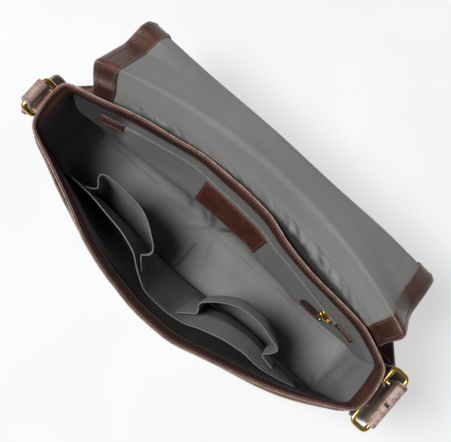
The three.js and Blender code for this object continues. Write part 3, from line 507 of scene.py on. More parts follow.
def brass_material(name):
    m = Shader(name)
    tarnish = m.noise(120.0, 4.0, 0.6)
    scratch = m.noise(900.0, 3.0, 0.7, stretch=(1.0, 0.12, 1.0))
    col = m.mix(m.ramp(tarnish, 0.38, 0.72), (0.83, 0.60, 0.20), (0.52, 0.34, 0.09))
    m.put(m.bsdf.inputs["Base Color"], col)
    m.bsdf.inputs["Metallic"].default_value = 1.0
    m.put(m.bsdf.inputs["Roughness"], m.ramp(m.math("ADD", tarnish, m.math("MULTIPLY", scratch, 0.5)), 0.5, 1.1, 0.24, 0.42))
    m.put(m.bsdf.inputs["Normal"], m.bump(scratch, 0.00005, 0.4))
    return m.mat


def thread_material(name, low, high):
    m = Shader(name)
    twist = m.noise(1400.0, 2.0, 0.6, stretch=(1.0, 1.0, 2.2))
    m.put(m.bsdf.inputs["Base Color"], m.mix(m.ramp(twist, 0.35, 0.65), low, high))
    m.put(m.bsdf.inputs["Roughness"], m.ramp(twist, 0.3, 0.7, 0.55, 0.75))
    m.put(m.bsdf.inputs["Normal"], m.bump(twist, 0.00015, 0.6))
    m.bsdf.inputs["Sheen Weight"].default_value = 0.1
    return m.mat


def floor_material():
    m = Shader("pale_floor")
    n = m.noise(6.0, 3.0, 0.5)
    m.put(m.bsdf.inputs["Base Color"], m.mix(m.ramp(n, 0.3, 0.7), (0.25, 0.25, 0.25), (0.275, 0.275, 0.275)))
    m.bsdf.inputs["Roughness"].default_value = 0.9
    m.bsdf.inputs["Specular IOR Level"].default_value = 0.1
    m.bsdf.inputs["Emission Color"].default_value = (1.0, 1.0, 1.0, 1.0)
    m.bsdf.inputs["Emission Strength"].default_value = 0.60
    return m.mat


# Each leather's last colour is the pale tone that worn edges and painted highlights fade to; the strap's copy is paler,
# for the painted highlight over its crowns.
HIDE = leather_material("brown_leather", (0.046, 0.017, 0.011), (0.080, 0.031, 0.021), (0.110, 0.048, 0.034), (0.40, 0.27, 0.225), rough=0.38, coat=0.08, shine=0.36)
HIDE_STRAP = leather_material("strap_leather", (0.046, 0.017, 0.011), (0.080, 0.031, 0.021), (0.110, 0.048, 0.034), (0.52, 0.39, 0.335), rough=0.40, coat=0.08, shine=0.36)
HIDE_IN = leather_material("facing_leather", (0.040, 0.014, 0.010), (0.066, 0.023, 0.016), (0.090, 0.036, 0.026), (0.24, 0.13, 0.10), rough=0.44, coat=0.05)
HIDE_LABEL = leather_material("label_leather", (0.040, 0.011, 0.006), (0.062, 0.018, 0.011), (0.085, 0.030, 0.020), (0.13, 0.05, 0.036), rough=0.62, coat=0.0, shine=0.22)
CLOTH = cloth_material("grey_lining", (0.158, 0.155, 0.151), (0.202, 0.199, 0.194), (0.36, 0.355, 0.35), sheen=0.04)
# A lighter copy of the grey lining for the back wall and the right end: painted light, for the light those walls catch.
CLOTH_PAINTED_LIT = cloth_material("grey_lining_painted_lit", (0.184, 0.181, 0.177), (0.238, 0.234, 0.229), (0.40, 0.395, 0.39), sheen=0.04, deep=0.12)
# The flap lining's painted shade goes almost to black, for the painted shade at its hinge.
CLOTH_FLAP = cloth_material("grey_flap_lining", (0.150, 0.150, 0.145), (0.184, 0.183, 0.177), (0.31, 0.305, 0.30), sheen=0.18, deep=0.03)
TAPE = cloth_material("zip_tape_cloth", (0.10, 0.098, 0.098), (0.125, 0.123, 0.123), (0.42, 0.41, 0.41), pitch=0.0006, rib=0.2)
COIL = thread_material("zip_coil", (0.075, 0.074, 0.074), (0.12, 0.119, 0.119))
BRASS = brass_material("polished_brass")
THREAD = thread_material("brown_thread", (0.048, 0.021, 0.016), (0.088, 0.044, 0.034))
THREAD_GREY = thread_material("grey_thread", (0.10, 0.10, 0.10), (0.17, 0.17, 0.17))

# ------------------------------------------------------------ bag surfaces
rim_front, rim_back = curve(RIM, 1), curve(RIM, 2)
pouch_off = curve(POUCH, 1)
back_mid, back_end = curve(BACK_LINING, 1), curve(BACK_LINING, 2)
slip_top, slip_belly = curve(SLIP, 1), curve(SLIP, 2)
dents = {-1: ripples(11, 7, 80, 190), 1: ripples(23, 7, 80, 190)}


def length_at(z):
    return lerp(BASE_LENGTH / 2, RIM_HALF, z / BAG_HEIGHT)


def foot_of(sign, t):
    return HALF + 0 * t if sign < 0 else lerp(BACK_FOOT, HALF, t)


def panel(sign, s, z):
    t = z / BAG_HEIGHT
    bow = (rim_front if sign < 0 else rim_back)(np.clip(s, -1, 1))
    x = s * length_at(z) + (FRONT_SHIFT if sign < 0 else BACK_SHIFT) * t
    return np.stack(np.broadcast_arrays(x, sign * (foot_of(sign, t) + bow * t), z - bow * bow / (2 * BAG_HEIGHT) * t * t), -1)


def give(sign, s, z):
    """how far the soft wall is dented in, the same for every layer"""
    t = np.clip(z / BAG_HEIGHT, 0, 1)
    free = (1 - np.clip(np.abs(s), 0, 1) ** 4) * np.sin(t * np.pi * 0.66)
    return free * (0.2 + 1.1 * dents[sign](s * 200, z))


def panel_in(sign, s, z, d):
    e = 0.02
    p = panel(sign, s, z)
    t = panel(sign, np.minimum(1, s + e), z) - panel(sign, np.maximum(-1, s - e), z)
    t[..., 2] = 0
    t = normalize(t)
    n = np.stack([-t[..., 1], t[..., 0], 0 * t[..., 0]], -1) * (1 if sign < 0 else -1)
    return p + n * np.asarray(d + give(sign, s, z))[..., None]


def gusset_in(sign, r, z, d):
    t = z / BAG_HEIGHT
    shift = lerp(FRONT_SHIFT, BACK_SHIFT, (r + 1) / 2) * t
    soft = 0.8 * (1 - r * r) * np.sin(np.clip(t, 0, 1) * np.pi * 0.7) * dents[1](r * 30 + sign * 300, z)
    y = lerp(-HALF, foot_of(1, t), (r + 1) / 2)
    # the bars of ring and buckle press into the soft ends
    soft = soft + 2.9 * np.exp(-((y - END_Y) / 22) ** 4 - ((z - 267) / 12) ** 4)
    x = sign * (length_at(z) - 1.2 + END_BULGE * t * (1 - r * r) + END_MORE[sign] * t * t - d - soft) + shift
    return np.stack(np.broadcast_arrays(x, y, z), -1)


def turned(side, end, z, d, k):
    """k 0..1 round the upright corner from a panel (side) into a gusset (end), at offset d: a soft bend, tangent to both"""
    z, d, k = np.broadcast_arrays(*(np.asarray(v, float) for v in (z, d, k)))
    s0, r0 = 1 - CORNER / RIM_HALF, 1 - CORNER / HALF
    a0, a1 = panel_in(side, end * s0 + 0 * z, z, d), panel_in(side, end * (s0 - 0.01) + 0 * z, z, d)
    b0, b1 = gusset_in(end, side * r0 + 0 * z, z, d), gusset_in(end, side * (r0 - 0.02) + 0 * z, z, d)
    u, v, w = a0 - a1, b0 - b1, b0 - a0
    m = (w[..., 0] * v[..., 1] - w[..., 1] * v[..., 0]) / (u[..., 0] * v[..., 1] - u[..., 1] * v[..., 0])
    c = a0 + u * m[..., None]
    c[..., 2] = (a0[..., 2] + b0[..., 2]) / 2
    k = k[..., None]
    a, b, e = (1 - k) ** 2, 2 * (TURN if side < 0 else TURN_BACK) * k * (1 - k), k ** 2
    return (a0 * a + c * b + b0 * e) / (a + b + e)


def panel_round(sign, s, z, d):
    """the panel, turning half way into the gussets at its ends; s = -1..1"""
    s, z, d = np.broadcast_arrays(*(np.asarray(v, float) for v in (s, z, d)))
    s0 = 1 - CORNER / RIM_HALF
    p = panel_in(sign, np.clip(s, -s0, s0), z, d)
    for end in (-1, 1):
        k = np.clip((end * s - s0) / (1 - s0), 0, 1.06) / 2
        p = np.where((end * s > s0)[..., None], turned(sign, end, z, d, k), p)
    return p


def gusset_round(sign, r, z, d):
    """the gusset, turning half way into the panels at its sides; r = -1..1"""
    r, z, d = np.broadcast_arrays(*(np.asarray(v, float) for v in (r, z, d)))
    r0 = 1 - CORNER / HALF
    p = gusset_in(sign, np.clip(r, -r0, r0), z, d)
    for side in (-1, 1):
        k = 1 - np.clip((side * r - r0) / (1 - r0), 0, 1.06) / 2
        p = np.where((side * r > r0)[..., None], turned(side, sign, z, d, k), p)
    return p


def soft_corner(z):
    """the sewn corners stand proud low down and turn softly at the rim"""
    return smooth((z - 130) / 110)[..., None]


def s_of(sign, x, z):
    return (x - (FRONT_SHIFT if sign < 0 else BACK_SHIFT) * z / BAG_HEIGHT) / length_at(z)


def outward(surface, U, V, d=0.0, step=0.5):
    """unit vector off a surface(U, V, d), towards smaller d"""
    return normalize(surface(U, V, d - step) - surface(U, V, d))


proud = SEAM_EDGE / RIM_HALF
shell_thread, rim_thread, flap_thread, strap_thread, lining_thread = (Thread() for _ in range(5))

# --------------------------------------------------------------- the shell
for name, node, sign in (("leather_front_panel", "front_panel", -1), ("leather_back_panel", "back_panel", 1)):
    def surf(s, z, d, sign=sign):
        s, z, d = np.broadcast_arrays(*(np.asarray(v, float) for v in (s, z, d)))
        return lerp(panel_in(sign, s * (1 + proud), z, d), panel_round(sign, s, z, d), soft_corner(z))
    ss = close_steps(-1, 1, 130, unit=RIM_HALF)
    zz = close_steps(0.5, BAG_HEIGHT, 44)
    # Pale rim edge: part real wear, part painted highlight.
    piece(wall(name, ss, zz, surf, 0.0, LEATHER, HIDE, unit=(RIM_HALF, 1), rounded=(False, False, True, True), edge_wear_and_highlight=(0, 0, 0.3, 0.55)), "leather", node)
    line_s = np.linspace(-0.985, 0.985, 300)
    top = np.full_like(line_s, BAG_HEIGHT - 4.6)
    if sign > 0:
        rim_thread.row(surf(line_s, top, 0.0), outward(surf, line_s, top))
    else:
        rim_thread.row(surf(line_s, top, 0.0), outward(surf, line_s, top))
    for end in (-1, 1):
        z = np.linspace(6, BAG_HEIGHT - 6, 120)
        s = np.full_like(z, end * (1 - 2.0 / RIM_HALF))
        shell_thread.row(surf(s, z, 0.0), outward(surf, s, z))
    low = np.full_like(line_s, 5.0)
    shell_thread.row(surf(line_s, low, 0.0), outward(surf, line_s, low))

def pouch(s, z, d):
    s, z, d = np.broadcast_arrays(*(np.asarray(v, float) for v in (s, z, d)))
    d = d - GAP - pouch_off(s) * (z / POCKET_TOP) ** 2
    return lerp(panel_in(-1, s, z, d), panel_round(-1, s, z, d), soft_corner(z))



ss = close_steps(-0.985, 0.985, 120, unit=RIM_HALF)
zz = close_steps(9, POCKET_TOP, 40)
# Pale edges round the pocket: part real wear, part painted highlight.
piece(wall("leather_front_pocket", ss, zz, pouch, -LEATHER, 0.0, HIDE, unit=(RIM_HALF, 1), edge_wear_and_highlight=(0.3, 0.3, 0.3, 0.45)), "leather", "front_pocket")
line_s = np.linspace(-0.96, 0.96, 300)
for h, off in ((POCKET_TOP - 4.5, 0), (POCKET_TOP - 22, 0)):
    z = np.full_like(line_s, h)
    shell_thread.row(pouch(line_s, z, -LEATHER), outward(pouch, line_s, z, -LEATHER))
for end in (-1, 1):
    z = np.linspace(12, POCKET_TOP - 8, 120)
    s = np.full_like(z, end * 0.962)
    shell_thread.row(pouch(s, z, -LEATHER), outward(pouch, s, z, -LEATHER))
z = np.full_like(line_s, 14.0)
shell_thread.row(pouch(line_s, z, -LEATHER), outward(pouch, line_s, z, -LEATHER))

inner = HALF - LEATHER - GAP
for name, node, sign in (("leather_gusset_left", "gusset_left", -1), ("leather_gusset_right", "gusset_right", 1)):
    def surf(r, z, d, sign=sign):
        r, z, d = np.broadcast_arrays(*(np.asarray(v, float) for v in (r, z, d)))
        return lerp(gusset_in(sign, r * inner / HALF, z, d), gusset_round(sign, r, z, d), soft_corner(z))
    rr = np.linspace(-1, 1, 41)
    zz = close_steps(0.5, BAG_HEIGHT - 0.2, 44)
    # Pale rim edge: part real wear, part painted highlight.
    piece(wall(name, rr, zz, surf, 0.0, LEATHER, HIDE, unit=(HALF, 1), rounded=(False, False, True, True), edge_wear_and_highlight=(0, 0, 0, 0.55)), "leather", node)
    r = np.linspace(-0.86, 0.86, 40)
    z = np.full_like(r, BAG_HEIGHT - 5.2)
    rim_thread.row(surf(r, z, 0.0), outward(surf, r, z))

base_half = BASE_LENGTH / 2 - 1.2 - LEATHER - GAP
flat = lambda x, y, d: np.stack(np.broadcast_arrays(x, y, d), -1)
back_inner = BACK_FOOT - LEATHER - GAP
piece(wall("leather_base", close_steps(-base_half, base_half, 60), close_steps(-inner, back_inner, 18), flat, 0.0, LEATHER, HIDE, r=0.8), "leather", "base")

# -------------------------------------------------------------- the lining
seam_x = -21.0
base_fold = ripples(5, 6, 26, 70)
FLOOR_IN = LEATHER + GAP + LINING
COVE = {"front": 7.0, "back": 34.0, "end": 34.0}       # how far the lining takes to turn from wall to floor


def cove(h, reach):
    """soft bend between wall and floor: distance off the one at distance h along the other"""
    return reach * (1 - np.sqrt(np.clip(h / reach, 0, 1))) ** 2


def end_reach(r):
    """the turn at the ends narrows towards the front wall; r = -1..1"""
    return lerp(COVE["front"], COVE["end"], smooth((r + 1) / 0.6))


def wall_cove(z, reach):
    return cove(np.maximum(z - FLOOR_IN, 0.25 * reach), reach)


def base_top(x, y):
    """lining on the base: a little slack, one cross seam, folds where it pulls at the seam"""
    edge = np.clip(np.minimum(base_half - 6 - np.abs(x), np.minimum(y + inner - 4, back_inner - 12 - y)) / 14, 0, 1)
    seam = smooth((17 - y) / 6)
    z = 1.2 * smooth(edge) + 0.6 * smooth(edge) * base_fold(x, y)
    z = z - 1.3 * seam * np.exp(-((x - seam_x) / 1.1) ** 2) + 0.6 * seam * np.exp(-((x - seam_x + 4.0) / 2.2) ** 2)
    z = z + ridge(x, y, (-24, 40), (-60, 12), 4.0, 2.4) + ridge(x, y, (-18, 42), (-2, 2), 4.0, 2.0)
    z = z + ridge(x, y, (-44, 42), (-100, 30), 5.0, 1.8) + ridge(x, y, (50, 40), (120, 14), 8.0, 1.8)
    z = z + ridge(x, y, (16, 40), (44, -10), 6.0, 1.2)
    return z


def base_lining(x, y, d):
    """x, y = -1..1 over the floor; the edges turn up into the walls"""
    x, y, d = np.broadcast_arrays(*(np.asarray(v, float) for v in (x, y, d)))
    e, f, b = end_reach(y), COVE["front"], COVE["back"]
    X = x * (base_half + LEATHER + GAP - IN_2 - 0.25 * e + 1.5)
    far = panel(1, np.clip(X / length_at(0), -1, 1), 0.25 * b + 0 * X)[..., 1] - IN_2 - 0.25 * b
    near = -(HALF - IN_2 - 0.25 * f)
    Y = lerp(near, far + 1.5, (y + 1) / 2)
    rise = np.maximum(cove(far + 0.25 * b - Y, b), cove(Y - near + 0.25 * f, f))
    rise = np.hypot(rise, cove(base_half + LEATHER + GAP - IN_2 - np.abs(X), e))
    return np.stack([X, Y, LEATHER + GAP + d + rise + base_top(X, Y)], -1)


at_x = lambda x: x / (base_half + LEATHER + GAP - IN_2 - 0.25 * COVE["end"] + 1.5)
xs = np.unique(np.concatenate([np.linspace(-1, 1, 190), at_x(seam_x) + np.linspace(-8, 4, 25) / 190]))
ys = np.linspace(-1, 1, 64)
spots = base_lining(xs[:, None], ys[None, :], 0.0)
# Painted shade along the cross seam's groove, and a painted shadow band along the front edge under the slip pocket.
ob = piece(wall("cloth_lining_base", xs, ys, base_lining, 0.0, LINING, CLOTH, unit=(190, 37), rounded=(False,) * 4,
                dark=np.maximum(0.5 * np.exp(-((spots[..., 0] - seam_x) / 0.8) ** 2) * smooth((17 - spots[..., 1]) / 6),
                                0.45 * np.exp(-((spots[..., 1] + 25) / 5) ** 2))), "lining", "lining_base")
y = np.linspace(-0.86, 0.15, 60)
lining_thread.row(base_lining(np.full_like(y, at_x(seam_x + 3.2)), y, LINING), np.tile([0, 0, 1.0], (60, 1)), radius=0.3, length=2.2, pitch=3.0)

strip_folds = ripples(31, 5, 18, 60)


def front_lining(s, z, d):
    s, z, d = np.broadcast_arrays(*(np.asarray(v, float) for v in (s, z, d)))
    soft = 0.5 * smooth((z - 216) / 12) * smooth((268 - z) / 10) * (0.5 + 0.5 * strip_folds(s * 200, z * 0.35))
    return panel_round(-1, s, z, d + soft + wall_cove(z, COVE["front"]))


ss = np.linspace(-1, 1, 170)
zz = np.linspace(4.2, 284, 60)
# Painted shade over the front wall, which lies in shadow, lighter at the ends of the strip under the rim, where painted
# light is laid instead.
shade = np.interp(ss, (-1, -0.50, -0.36, -0.26, 0.2, 0.45, 0.72, 0.82, 1), (0, 0.1, 0.6, 1, 1, 0.85, 0.65, 0, 0))
high = smooth((zz - 216) / 14)
piece(wall("cloth_lining_front", ss, zz, front_lining, IN_1, IN_2, CLOTH, unit=(RIM_HALF, 1), rounded=(False,) * 4,
           dark=smooth((zz - 60) / 60)[None, :] * lerp(0.9, 0.95 * shade[:, None], high[None, :]),
           highlight_and_wear_mix=0.75 * (1 - shade)[:, None] * high[None, :]), "lining", "lining_front")

back_folds = ripples(47, 6, 40, 120)


def back_in(s, z):
    """the zip band's crest climbs towards the left end and lies back right of the label"""
    at = z - CREST_RISE * smooth((-s - 0.5) / 0.42) * np.clip(np.minimum(z / 100, (246 - z) / 22), 0, 1)
    base = lerp(back_mid(at), back_end(at), np.abs(s) ** 3)
    back = 1 - 0.14 * smooth((s - 0.02) / 0.18) * (1 - smooth((s - 0.36) / 0.2)) * (1 - smooth((z - 245) / 14))
    return GAP_IN + (base - GAP_IN) * back


def back_slack(s, z):
    """folds in the back lining, below the label only"""
    x = s * 199
    low = smooth((176 - z) / 25) * smooth((z - 4) / 25) * (1 - np.abs(s) ** 6)
    k = 0.9 * back_folds(x, z * 0.6)
    k = k + ridge(x, z, (-62, 176), (-28, 10), 7.0, 3.0) + ridge(x, z, (-84, 172), (-56, 20), 4.5, 2.6)
    k = k + ridge(x, z, (-36, 166), (-20, 5), 4.0, 2.8) + ridge(x, z, (10, 170), (-14, 10), 8.0, 2.2)
    k = k + ridge(x, z, (70, 174), (110, 20), 10.0, 2.0)
    return low * np.maximum(1.8 * k, -0.4)


def lining_back(s, z, d):
    s, z, d = np.broadcast_arrays(*(np.asarray(v, float) for v in (s, z, d)))
    return panel_round(1, s, z, np.maximum(back_in(s, z), IN_1) + back_slack(s, z) + d + wall_cove(z, COVE["back"]) + 0.3 * (1 - smooth((z - 14) / 18)))


ss = np.linspace(-1, 1, 200)
low = FLOOR_IN + 0.25 * COVE["back"]
zz = np.concatenate([[low - 1.5], np.linspace(low, 176, 60), np.linspace(178, 284, 54)])
spots = np.broadcast_to(zz[None, :], (200, len(zz)))
# Darker from 188 mm up, and painted shadow over the left end of the wall from about 150 mm up.
piece(wall("cloth_lining_back", ss, zz, lining_back, 0.0, LINING, CLOTH_PAINTED_LIT, unit=(RIM_HALF, 1), rounded=(False,) * 4,
           dark=np.maximum(0.47 * smooth((spots - 188) / 8), 0.97 * (smooth((-ss - 0.62) / 0.14)[:, None] * smooth((spots - 150) / 50)))), "lining", "lining_back")

end_folds = ripples(61, 5, 30, 80)
for name, node, sign in (("cloth_lining_left", "lining_left", -1), ("cloth_lining_right", "lining_right", 1)):
    def surf(r, z, d, sign=sign):
        r, z, d = np.broadcast_arrays(*(np.asarray(v, float) for v in (r, z, d)))
        slack = np.clip(1 - r * r, 0, 1) ** 2 * smooth((250 - z) / 40) * smooth(z / 30) * (1.2 + 1.6 * end_folds(r * 30 + sign * 90, z * 0.6))
        return gusset_round(sign, r, z, d + slack + wall_cove(z, end_reach(r)) + 0.3 * (1 - smooth((z - 10) / 14)))
    zz = np.concatenate([np.linspace(FLOOR_IN + 0.6, 50, 34), np.linspace(54, 284, 50)])
    # The right end takes the lighter, painted-lit copy of the lining, the left end the plain one.
    piece(wall(name, np.linspace(-1, 1, 40), zz, surf, IN_1, IN_2, CLOTH_PAINTED_LIT if sign > 0 else CLOTH, unit=(HALF, 1), rounded=(False,) * 4), "lining", node)

# -------------------------------------------------- facing inside the mouth
FACE_T = 1.4


def face_in(z):
    """the facing leans out to meet the shell at the rim"""
    return lerp(FACE_1, LEATHER + 0.12, smooth((z - 274) / 13))


def face_tall(s, plain, corner):
    """the facing is cut deeper towards the corners"""
    return plain + corner * smooth((np.abs(s) - 0.72) / 0.28)


# v = 0 at the lower edge of the facing, 1 at the rim
for name, node, sign in (("leather_facing_front", "facing_front", -1), ("leather_facing_back", "facing_back", 1)):
    def surf(s, v, d, sign=sign):
        s, v, d = np.broadcast_arrays(*(np.asarray(k, float) for k in (s, v, d)))
        z = BAG_HEIGHT - 0.4 - face_tall(s, 25.0, 12.0) * (1 - v)
        return panel_round(sign, s, z, face_in(z) + d)
    ss = np.linspace(-1, 1, 180)
    zz = close_steps(0, 1, 14, unit=27, r=0.7)
    # Pale edges: part real wear, part painted highlight.
    piece(wall(name, ss, zz, surf, 0.0, FACE_T, HIDE_IN, unit=(RIM_HALF, 27), rounded=(False, False, True, True), edge_wear_and_highlight=(0, 0, 0.1, 0.3)), "leather", node)
    s = np.linspace(-0.99, 0.99, 320)
    for h in (0.83, 0.10):
        v = np.full_like(s, h)
        rim_thread.row(surf(s, v, FACE_T), -outward(surf, s, v, FACE_T))
for name, node, sign in (("leather_facing_left", "facing_left", -1), ("leather_facing_right", "facing_right", 1)):
    def surf(r, v, d, sign=sign):
        r, v, d = np.broadcast_arrays(*(np.asarray(k, float) for k in (r, v, d)))
        z = BAG_HEIGHT - 0.4 - face_tall(r, 31.0, 6.0) * (1 - v)
        return gusset_round(sign, r, z, face_in(z) + d)
    # Pale edges: part real wear, part painted highlight.
    piece(wall(name, np.linspace(-1, 1, 41), close_steps(0, 1, 14, unit=32, r=0.7), surf, 0.0, FACE_T, HIDE_IN, unit=(HALF, 32), rounded=(False, False, True, True),
               edge_wear_and_highlight=(0, 0, 0.1, 0.3)), "leather", node)
    r = np.linspace(-0.97, 0.97, 60)
    for h in (0.85, 0.08):
        v = np.full_like(r, h)
        rim_thread.row(surf(r, v, FACE_T), -outward(surf, r, v, FACE_T))


# ------------------------------------------------ zip, label on the back lining
def on_back(x, z, d):
    s = s_of(1, x, z)
    return panel_in(1, s, z, back_in(s, z) + LINING + d)


def zip_z(x):
    return ZIP_HEIGHT - ZIP_DROP * smooth((x - 70) / 80)


def zip_bed(x, h, d):
    """narrow tape with a raised welt along its upper side"""
    lip = 0.5 * np.exp(-((h - 2.0) / 0.5) ** 2)
    return on_back(x, zip_z(x) + h, d + GAP + 0.25 + np.where(d > 0.4, lip, 0))


hs = np.linspace(-3.0, 3.0, 19)
xs = np.linspace(-ZIP_HALF, ZIP_HALF, 150)
# A faint painted highlight along the welt's raised lip.
piece(wall("cloth_zip_tape", xs, hs, zip_bed, 0.0, 0.9, TAPE, rounded=(False, False, True, True),
           highlight_and_wear_mix=0.12 * np.exp(-((hs - 2.0) / 0.5) ** 2)[None, :] + 0 * xs[:, None]), "zip_tape", "zip")
# coil: small loops side by side down the middle of the tape
coil_pts, coil_faces, count = [], [], 0
ang = np.linspace(0, 2 * np.pi, 9)[:-1]
for n, x in enumerate(np.arange(-ZIP_HALF + 3, ZIP_HALF - 3, 1.7)):
    c = on_back(np.array([x]), zip_z(np.array([x])) - 0.6, np.array([1.7]))[0]
    a = on_back(np.array([x + 0.5]), zip_z(np.array([x + 0.5])) - 0.6, np.array([1.7]))[0]
    o = normalize(on_back(np.array([x]), zip_z(np.array([x])) - 0.6, np.array([2.7]))[0] - c)
    t = normalize(a - c)
    w = np.cross(o, t)
    lean = 0.35 if n % 2 else -0.35
    ring = []
    for k, wide in ((-1.0, 0.45), (-0.55, 0.66), (0.0, 0.7), (0.55, 0.66), (1.0, 0.45)):
        mid = c + w * (k * 1.2 + lean) + o * (0.35 * (1 - k * k) - 0.1)
        ring.append(mid + 0.62 * wide * np.cos(ang)[:, None] * t + 0.75 * wide * np.sin(ang)[:, None] * o)
    pts = np.stack(ring)
    idx = np.arange(40).reshape(5, 8) + count
    nxt = np.roll(idx, -1, 1)
    coil_faces += np.stack([idx[:-1], idx[1:], nxt[1:], nxt[:-1]], -1).reshape(-1, 4).tolist() + [idx[0].tolist(), idx[-1][::-1].tolist()]
    coil_pts.append(pts.reshape(-1, 3))
    count += 40
coil_pts = np.concatenate(coil_pts)
piece(mesh_object("zip_coil", coil_pts, coil_faces, COIL, {"wear_and_highlight": np.zeros(count), "dark": np.zeros(count)}), "zip_tape")

for name, node, x0, x1 in (("leather_zip_end_left", "zip_end_left", -172.0, -ZIP_HALF - 0.4), ("leather_zip_end_right", "zip_end_right", ZIP_HALF + 0.4, 172.0)):
    surf = lambda x, h, d: on_back(x, zip_z(x) + h, GAP + 0.4 + d)
    piece(wall(name, close_steps(x0, x1, 16, r=0.7), close_steps(-5, 5, 10, r=0.7), surf, 0.0, 1.5, HIDE_IN, edge_wear_and_highlight=(0.2,) * 4), "leather", node)
    x = np.linspace(x0 + 2, x1 - 2, 30)
    for h in (-3.4, 3.4):
        z = np.full_like(x, h)
        lining_thread.row(surf(x, z, 1.5), -outward(surf, x, z, 1.5), radius=0.3, pitch=3.0, length=2.2)

label = lambda x, z, d: on_back(x, z, GAP + 0.5 + d)
piece(wall("leather_label_patch", close_steps(LABEL["x0"], LABEL["x1"], 60), close_steps(LABEL["foot"], LABEL["top"], 26), label, 0.0, 1.6, HIDE_LABEL,
           edge_wear_and_highlight=(0.35,) * 4), "label_leather", "label_patch")
for a, b in (((LABEL["x0"] + 2.4, LABEL["foot"] + 2.4), (LABEL["x1"] - 2.4, LABEL["foot"] + 2.4)), ((LABEL["x0"] + 2.4, LABEL["top"] - 2.4), (LABEL["x1"] - 2.4, LABEL["top"] - 2.4)),
             ((LABEL["x0"] + 2.4, LABEL["foot"] + 2.4), (LABEL["x0"] + 2.4, LABEL["top"] - 2.4)), ((LABEL["x1"] - 2.4, LABEL["foot"] + 2.4), (LABEL["x1"] - 2.4, LABEL["top"] - 2.4))):
    x, z = np.linspace(a[0], b[0], 60), np.linspace(a[1], b[1], 60)
    rim_thread.row(label(x, z, 1.6), -outward(label, x, z, 1.6), pitch=3.0, length=2.2, radius=0.34)

# slider: a waisted body, a bridge over it, a link, and a leather pull
slider_wide = curve([(126, 3.4), (128, 4.6), (131, 4.9), (134, 4.2), (137, 3.3), (139.5, 3.4), (141, 2.8)], 1)
body = lambda x, k, d: on_back(x, zip_z(x) + k * slider_wide(x), GAP + 2.1 + d)
piece(wall("brass_zip_slider", close_steps(126, 141, 24, r=0.9), close_steps(-1, 1, 12, unit=4, r=0.9), body, 0.0, 2.6, BRASS, unit=(1, 4)), "brass", "zip_slider")
k = np.linspace(0, 1, 22)
arch = on_back(lerp(127.6, 139.2, k), zip_z(lerp(127.6, 139.2, k)), GAP + 4.0 + 3.2 * np.sin(np.pi * k) ** 0.6)
piece(tube("brass_zip_bridge", arch, 1.15, 12, False, BRASS), "brass")
k = np.linspace(0, 2 * np.pi, 29)[:-1]
link = on_back(130.5 + 3.6 * np.cos(k) - 1.2, zip_z(129.3) - 1.5 + 4.2 * np.sin(k) * 0.8 - 1.6 * np.cos(k), GAP + 6.6 + 1.6 * np.cos(k))
piece(tube("brass_zip_link", link, 0.8, 10, True, BRASS), "brass")
rows = []
for k in np.linspace(0, 1, 7):
    x = lerp(130, 104, k)
    rows.append(on_back(np.array(x), zip_z(np.array(x)) - lerp(3, 12, k), np.array(lerp(8.8, 8.4, k))))
rows = np.array(rows)
at = close_steps(0, 6, 40, unit=5.2, r=0.8)
line = through(rows, at)
tan = normalize(np.gradient(line, axis=0))
xs_ = lerp(130, 104, at / 6)
zs_ = zip_z(xs_) - lerp(3, 12, at / 6)
out = normalize(on_back(xs_, zs_, 5.0 + 0 * xs_) - on_back(xs_, zs_, 0 * xs_))
wdir = 0.86 * out + np.array([0, 0, 0.5])              # stands out from the wall, face up
wdir = normalize(wdir - tan * (wdir * tan).sum(-1, keepdims=True))
ndir = normalize(np.cross(tan, wdir))
hw = 0.8 * through(np.array([2.4, 3.4, 4.6, 5.2, 5.2, 4.6, 3.0]), at)
cs = close_steps(-1, 1, 10, unit=5, r=0.8)
C, dist = cs[None, :], np.minimum((1 - np.abs(cs))[None, :] * 5, np.minimum(at, 6 - at)[:, None] * 5)
q = roundness(dist, 0.8)
centre = line[:, None] + wdir[:, None] * (hw[:, None] * C)[..., None]
piece(shell("leather_zip_pull", centre + ndir[:, None] * (0.8 * q)[..., None], centre - ndir[:, None] * (0.8 * q)[..., None], HIDE_IN,
            wear_and_highlight=0.2 * np.exp(-(dist / 0.9) ** 2), dark=0.55), "leather", "zip_pull")

# ---------------------------------------------- pockets on the front lining
slip_folds = ripples(71, 6, 35, 90)


def slip_off(x, z):
    top, belly = slip_top(x), slip_belly(x)
    k = z / SLIP_TOP
    low = belly * np.sin(np.minimum(1, k / 0.8) * np.pi / 2)
    free = np.clip(belly / 6, 0, 1) * smooth(k * 3) * (1 - smooth((k - 0.7) / 0.25))
    return IN_2 + GAP + 0.45 + np.where(k < 0.8, low, lerp(belly, top, (k - 0.8) / 0.2)) + 0.5 * free * slip_folds(x, z * 0.6)


slip = lambda x, z, d: panel_in(-1, s_of(-1, x, z), z, slip_off(x, z) + d)


def hem(z, top, deep, more):
    """extra thickness where the top edge is turned over"""
    return more * smooth((z - (top - deep)) / 0.8)


xs = np.linspace(-166, 158, 240)
zs = np.concatenate([np.linspace(12, 203, 46), [203.8, 204.3, 204.8, 205.3, 206, 208, 210, 212, 213, 213.5, 213.8, 214]])
thick = SLIP_WALL + hem(zs[None, :], SLIP_TOP, 9.5, 0.35) + 0 * xs[:, None]
